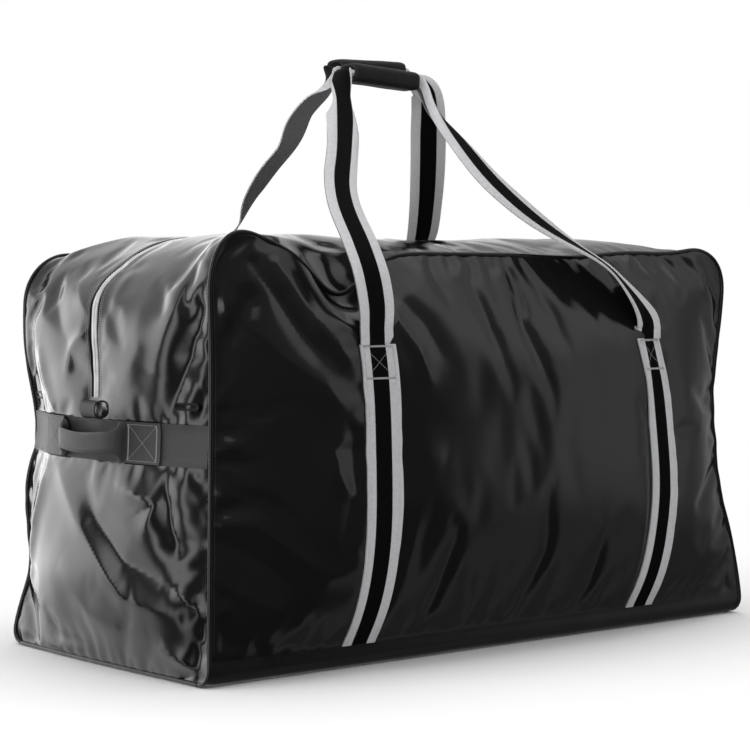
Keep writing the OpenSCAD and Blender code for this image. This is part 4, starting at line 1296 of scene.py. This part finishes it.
def repeated(name, rows, sizes, material, body="bag", segments=6, rings=4):
    """One mesh of the small shape on every place of every row. Its three sizes are in millimetres."""
    rows = np.concatenate(rows)
    points = bpy.data.meshes.new(name)
    points.from_pydata((rows[:, 0] * MM).tolist(), [], [])
    for k, word in ((1, "along"), (2, "out")):
        layer = points.attributes.new(word, "FLOAT_VECTOR", "POINT")
        layer.data.foreach_set("vector", rows[:, k].astype(np.float32).ravel())
    source = placed(name + "_points", points)
    modifier = source.modifiers.new("Row", "NODES")
    modifier.node_group = repeat_tree(name + " row", material, segments, rings)
    keys = {item.name: item.identifier for item in modifier.node_group.interface.items_tree}
    for word, value in zip(("Length", "Width", "Height"), sizes):
        modifier[keys[word]] = value * MM
    mesh = bpy.data.meshes.new_from_object(source.evaluated_get(bpy.context.evaluated_depsgraph_get()))
    mesh.name = name
    source.modifiers.clear()
    bpy.data.objects.remove(source)
    for word in ("along", "out"):
        if word in mesh.attributes:
            mesh.attributes.remove(mesh.attributes[word])
    mesh.polygons.foreach_set("use_smooth", np.ones(len(mesh.polygons), bool))
    return follow(placed(name, mesh), (), body)


# %% Places on a grid of cloth
def at_share(grid, row, col):
    """Places on a grid at fractional rows and columns."""
    row = np.clip(np.asarray(row, float), 0, grid.shape[0] - 1.001)
    col = np.clip(np.asarray(col, float), 0, grid.shape[1] - 1.001)
    r, c = row.astype(int), col.astype(int)
    fr, fc = (row - r)[..., None], (col - c)[..., None]
    return (grid[r, c] * (1 - fr) * (1 - fc) + grid[r + 1, c] * fr * (1 - fc)
            + grid[r, c + 1] * (1 - fr) * fc + grid[r + 1, c + 1] * fr * fc)


def across_strip(distance, rows, start=(COLS - 1) // 2):
    """Places and normals a distance along the strip's own surface from its middle, or from an edge."""
    step = 1 if distance > 0 else -1
    cols = []
    for k in rows:
        length = path_length(fine_strip[k, start::step])
        cols.append(start + step * np.interp(abs(distance), length, np.arange(len(length))))
    return at_share(fine_strip, rows, cols), unit(at_share(strip_normals, rows, cols))


# %% [markdown]
# ## The zip
# A heavy coil zip: two tapes are sewn under the cloth's folded edges, and each carries a coil that looks from above
# like a row of slanting teeth. Tapes and coils are swept along the middle line of the strip, one pair for the front
# and one for the back, because those halves part when the bag opens. Two rows of pale stitches hold each edge.

# %% Tapes, coils and teeth
TAPE_TOP, TAPE_THICKNESS, TAPE_PLACES = -2.2, 1.0, (0.6, 4.8, 9, 14, 20)  # places across, from the zip's middle
COIL_BASE, COIL_HEIGHT, CORE_PLACES = TAPE_TOP + 0.1, 1.5, (0.8, 2.6, 4.6)
COIL_HALF, TOOTH_PITCH, TOOTH_SLANT = 5.2, 2.9, 24
STITCH_PLACES, STITCH_PITCH, STITCH_LIFT = (11.6, 14.4), 3.4, 0.15


def zip_strip(kind, places, rows, low, high, material, slot_name):
    """A strip along this half of the zip, between two levels over the cloth."""
    columns = [across_strip(sign * place, rows) for place in places]
    top = np.stack([spot + normal * high for spot, normal in columns], 1)
    normal = np.stack([normal for _, normal in columns], 1)
    piece = flat_tape(f"{side}_{face}_{kind}", top, normal, high - low, top[:, 0], [material], 40)
    lift(follow(piece, [f"{side}_{slot_name}", f"{face}_flap_{slot_name[4:]}"], None))


def zip_run(first):
    """Lines of the strip from the one given, counted from the foot of its end, to the middle of the top."""
    return [line if mark < 0 else LINES - 1 - line for line in range(first, (LINES + 1) // 2)]


for side, mark in ENDS:
    run = zip_run(foot_line)
    for face, sign in FACES:
        zip_strip("tape", TAPE_PLACES, zip_run(band_line + 4), TAPE_TOP - TAPE_THICKNESS, TAPE_TOP,
                  zip_tape_finish, "zip_tape")
        zip_strip("coil_core", CORE_PLACES, run, COIL_BASE, COIL_BASE + COIL_HEIGHT, coil_finish, "zip_coil")
        spot, facing = across_strip(sign * (COIL_HALF + 0.35) / 2, run)
        teeth = row_points(spot + facing * (COIL_BASE + 1.4), facing, TOOTH_PITCH,
                           math.radians(90 + TOOTH_SLANT * sign * mark))
        lift(repeated(f"{side}_{face}_coil_teeth", [teeth], (COIL_HALF - 0.1, 1.9, 2.7), coil_finish,
                      None, 8, 5))
        rows = [row_points(spot + facing * STITCH_LIFT, facing, STITCH_PITCH) for spot, facing in
                (across_strip(sign * place, run) for place in STITCH_PLACES)]
        lift(repeated(f"{side}_{face}_zip_stitches", rows, (2.4, 0.75, 0.7), pale_thread,
                      None))
print("zip made")

# %% [markdown]
# ## Webbing on the ends
# A plain band crosses each end from seam to seam. A second length is boxed onto it at both sides; between the boxes
# it stands off, folded narrow, as a grab handle. A short loop of webbing above it is held while the zip is drawn.

# %% Bands and sewn ends
BAND_GAP, GRAB_FREE, GRAB_SEWN = 0.4, 140.0, 66.0
GRAB_LIFT = BAND_GAP + BAND_THICKNESS + 0.2
end_grids = {}


def end_webbing(name, node, y, gap, passes):
    """Webbing laid across this end, and its places. Rows run along Y."""
    z = np.linspace(BAND_HEIGHT - BAND_WIDTH / 2, BAND_HEIGHT + BAND_WIDTH / 2, 13)
    start = np.stack(np.broadcast_arrays(np.array(mark * 700.0), y[:, None], z[None, :]), -1)
    grid = laid(dropped(strip_surface, start, (-mark, 0, 0)), 0, mark, passes, gap)
    webbing_piece(name, grid, BAND_THICKNESS, PLAIN, [node])
    return grid


for side, mark in ENDS:
    reach = float(half_width(BAND_HEIGHT)) - 2.2
    end_grids[side, "band"] = end_webbing(f"{side}_end_band", f"{side}_band", np.linspace(-reach, reach, 112),
                                          BAND_GAP, 5)
    for face, sign in FACES:
        y = sign * np.linspace(GRAB_FREE / 2, GRAB_FREE / 2 + GRAB_SEWN, 17)
        end_grids[side, face] = end_webbing(f"{side}_{face}_grab_end", f"{side}_grab_ends", y, GRAB_LIFT, 3)

# %% Grab handles and zip loops
GRAB_STANDOFF, GRAB_ARCH, GRAB_FOLD, GRAB_FOLD_RUN, GRAB_SAG = 22.0, 0.34, 0.94, 26, 3.5
LOOP_REACH, LOOP_WIDTH, LOOP_FILL = 11.5, 32.0, 0.82  # the loop fills this share of the room above the band
for side, mark in ENDS:
    front, back = (end_grids[side, face][0, 6] + [mark * 0.8, 0, 0] for face, _ in FACES)
    share = np.linspace(0, 1, 52)
    spot = front + (back - front) * share[:, None]
    swell = np.sin(np.pi * share)
    spot[:, 0] += mark * (swell ** GRAB_ARCH * GRAB_STANDOFF + 0.2)
    spot[:, 2] -= GRAB_SAG * swell ** 2
    spot = resample(spot, 2.6)
    fold = GRAB_FOLD * ease(np.minimum(share, 1 - share) * GRAB_FREE / GRAB_FOLD_RUN)
    fold = np.interp(np.linspace(0, 1, len(spot)), share, fold)
    out = np.broadcast_to([float(mark), 0, 0], spot.shape)
    swept_webbing(f"{side}_grab_handle", spot, out, fold, BAND_WIDTH, BAND_THICKNESS, PLAIN,
                  [f"{side}_grab_grip"], flat=9.5)
    low = BAND_HEIGHT + BAND_WIDTH / 2 + 0.3
    rise = (ZIP_LOW - 0.3 - low) / 2 * LOOP_FILL
    face_x = across_strip(1e-6, [foot_line if mark < 0 else LINES - 1 - foot_line])[0][0][0]
    turn = np.linspace(-0.495 * np.pi, 0.495 * np.pi, 34)
    reach, up = LOOP_REACH * np.cos(turn) ** 0.5, rise * np.sin(turn)
    loop = np.stack([face_x + mark * (0.9 + reach), reach * 0, low + rise + 0.8 + up], -1)
    facing = np.stack([mark * np.gradient(up), reach * 0, -np.gradient(reach)], -1)
    swept_webbing(f"{side}_zip_loop", loop, unit(facing), reach * 0, LOOP_WIDTH, BAND_THICKNESS, PLAIN,
                  [f"{side}_zip_tab"])
print("end webbing made")

# %% [markdown]
# ## Eyelets and sliders
# Oblong plastic eyelets near the end seams let damp air out. Each is a rounded rim with a dark well, made as rings
# of one oblong outline, each with its own inset and height. The metal sliders and pulls already have the right
# forms in the CAD model, so copies of them are welded and get rounded edges.

# %% Eyelets
VENT_Y, VENT_Z, VENT_LENGTH, VENT_HEIGHT, VENT_LIFT = 180.0, ZIP_LOW - 4, 40.0, 9.6, 0.3
VENT_RINGS = table("0 -.6, -.1 .4, .2 1, .8 1.4, 1.5 1.3, 2.1 .9, 2.5 .1, 2.7 -.5, 3.9 -.6")
turn = np.linspace(0, 2 * np.pi, 40, endpoint=False)


def on_end(y, z):
    return np.array(strip_surface.ray_cast(Vector((mark * 700, y, z)), Vector((-mark, 0, 0)))[0])


for side, mark in ENDS:
    for face, sign in FACES:
        y = sign * VENT_Y
        across = unit(on_end(y + 14, VENT_Z) - on_end(y - 14, VENT_Z))
        up = unit(on_end(y, VENT_Z + 6) - on_end(y, VENT_Z - 6))
        out = unit(np.cross(across, up))
        out = out if out[0] * mark > 0 else -out
        rings = []
        for inset, height in VENT_RINGS:
            radius = VENT_HEIGHT / 2 - inset
            over = np.cos(turn) * radius + np.sign(np.cos(turn)) * (VENT_LENGTH - VENT_HEIGHT) / 2
            rings.append(on_end(y, VENT_Z) + np.outer(over, across) + np.outer(np.sin(turn) * radius, up)
                         + out * (height + VENT_LIFT))
        follow(ring_piece(f"{side}_{face}_eyelet", np.array(rings), [vent_finish]),
               [f"{side}_vents"])


# %% Sliders and pulls with rounded edges
def rounded_copy(name, node, width):
    """A copy of a CAD node, which is also its own body, with its edges rounded off."""
    work = bmesh.new()
    work.from_mesh(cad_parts[node].data)
    bmesh.ops.remove_doubles(work, verts=work.verts, dist=0.00002)
    bmesh.ops.dissolve_limit(work, angle_limit=math.radians(2), verts=work.verts, edges=work.edges)
    sharp = [edge for edge in work.edges if edge.calc_face_angle(0) > math.radians(40)]
    bmesh.ops.bevel(work, geom=sharp, offset=width * MM, segments=2, profile=0.6, affect="EDGES",
                    clamp_overlap=True)
    bmesh.ops.triangulate(work, faces=work.faces)
    for face in work.faces:
        face.smooth = True
    mesh = bpy.data.meshes.new(name)
    work.to_mesh(mesh)
    work.free()
    mesh.materials.append(slider_finish)
    piece = placed(name, mesh)
    edges_sharp(piece, 42)
    follow(piece, [node], node)


for side, _ in ENDS:
    rounded_copy(f"{side}_zip_slider", f"{side}_slider", 0.35)
    rounded_copy(f"{side}_zip_pull", f"{side}_slider_pull", 0.3)
print("eyelets and sliders made")

# %% [markdown]
# ## Stitches
# Carry straps and grab handles are held by a box of stitches with a cross in it. Its ends are bar tacks, a dense
# zigzag that reads as a pale bar. Rows of single stitches run along straps, bands and seams. All come from rows on
# the webbing's own grid, so they follow its shape.


# %% Boxes on the carry straps
BOX_LOW, BOX_HIGH = 363.5, 402.5  # heights of the bar tacks
THREAD_LIFT = 0.1  # how far the middle of a stitch stands over the webbing


def grid_row(grid, thick, a, b, pitch, slant=0.0, places=20):
    """A row between two places on webbing, each its share along and across the grid."""
    rows, cols = (np.linspace(a[k], b[k], places) * (grid.shape[k] - 1) for k in (0, 1))
    facing = unit(at_share(facing_out(grid), rows, cols))
    return row_points(at_share(grid, rows, cols) + facing * (thick + THREAD_LIFT), facing, pitch, slant)


def box_rows(grid, thick, low, high, inset, bar_pitch, pitch):
    """The bar tacks and the crossing rows of one box, between two shares of the grid's length."""
    far = 1 - inset
    return ([grid_row(grid, thick, (level, inset), (level, far), bar_pitch, math.radians(90))
             for level in (low, high)],
            [grid_row(grid, thick, (low, start), (high, 1 - start), pitch) for start in (inset, far)])


for face, _ in FACES:
    bars, crosses, sides, edges = [], [], [], []
    for side, _ in ENDS:
        grid = strap_tops[face, side]
        z = grid[:, STRAP_MIDDLE, 2]
        low, high = ((height - z[0]) / (z[-1] - z[0]) for height in (BOX_LOW, BOX_HIGH))
        for total, rows in zip((bars, crosses), box_rows(grid, STRAP_THICKNESS, low, high, 0.08, 0.62, 3.4)):
            total += rows
        for across in (0.085, 0.915):
            sides.append(grid_row(grid, STRAP_THICKNESS, (low, across), (high, across), 3.4))
            edges.append(grid_row(grid, STRAP_THICKNESS, (0.01, across), (low, across), 4.2))
    for name, rows, sizes, thread in (
            ("bar_tacks", bars, (3.2, 0.7, 0.6), pale_thread),
            ("cross_stitches", crosses, (2.7, 0.7, 0.6), pale_thread),
            ("box_stitches", sides, (1.7, 0.9, 0.5), dark_thread),
            ("edge_stitches", edges, (2.6, 0.6, 0.5), pale_thread)):
        repeated(f"{face}_strap_{name}", rows, sizes, thread)

# %% Boxes on the grab handles, and rows along the bands
for side, _ in ENDS:
    bars, stitches = [], []
    for face, _ in FACES:
        grid = end_grids[side, face]
        for total, rows in zip((bars, stitches), box_rows(grid, BAND_THICKNESS, 0.1, 0.9, 0.07, 0.75, 2.9)):
            total += rows
        stitches += [grid_row(grid, BAND_THICKNESS, (0.1, across), (0.9, across), 2.9)
                     for across in (0.06, 0.94)]
    edges = [grid_row(end_grids[side, "band"], BAND_THICKNESS, (0.01, across), (0.99, across), 4.0, places=112)
             for across in (0.06, 0.94)]
    for name, rows, sizes, thread in (
            ("grab_bar_tacks", bars, (2.8, 0.6, 0.6), pale_thread),
            ("grab_stitches", stitches, (2.1, 0.75, 0.6), pale_thread),
            ("band_stitches", edges, (2.4, 0.6, 0.5), dark_thread)):
        repeated(f"{side}_{name}", rows, sizes, thread)

# %% Rows beside the piping
SEAM_INSET, SEAM_PITCH, SEAM_STITCH = 5.5, 4.2, (3.0, 0.7, 0.6)
for face, sign in FACES:
    grid = fine_sheet[::-sign]
    edge, inner = (np.concatenate([grid[1:front_rows - 2, col][::-1], grid[row, 1:-1],
                                   grid[1:front_rows - 2, -1 - col]]) for col, row in ((0, 0), (3, 5)))
    line = edge + unit(inner - edge) * SEAM_INSET
    line[:, 1] += sign * 60
    line = smoothed(dropped(sheet_surface, line, (0, -sign, 0)), 3)
    out = np.broadcast_to([0.0, sign, 0.0], line.shape)
    repeated(f"{face}_seam_stitches", [row_points(line + out * STITCH_LIFT, out, SEAM_PITCH)], SEAM_STITCH,
             dark_thread)
for face, start, step in (("front", 0, 1), ("back", COLS - 1, -1)):
    spot, facing = across_strip(step * SEAM_INSET, range(14, LINES - 14), start)
    repeated(f"{face}_top_seam_stitches", [row_points(spot + facing * STITCH_LIFT, facing, SEAM_PITCH)],
             SEAM_STITCH, dark_thread)
print("stitches made")

# %% [markdown]
# ## Measure
# The bounds of the visual model are measured, without the floor and the cards. The visual model has
# to stay in the CAD model's box, apart from a little that cloth may stand proud.

# %% Boxes
low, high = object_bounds()
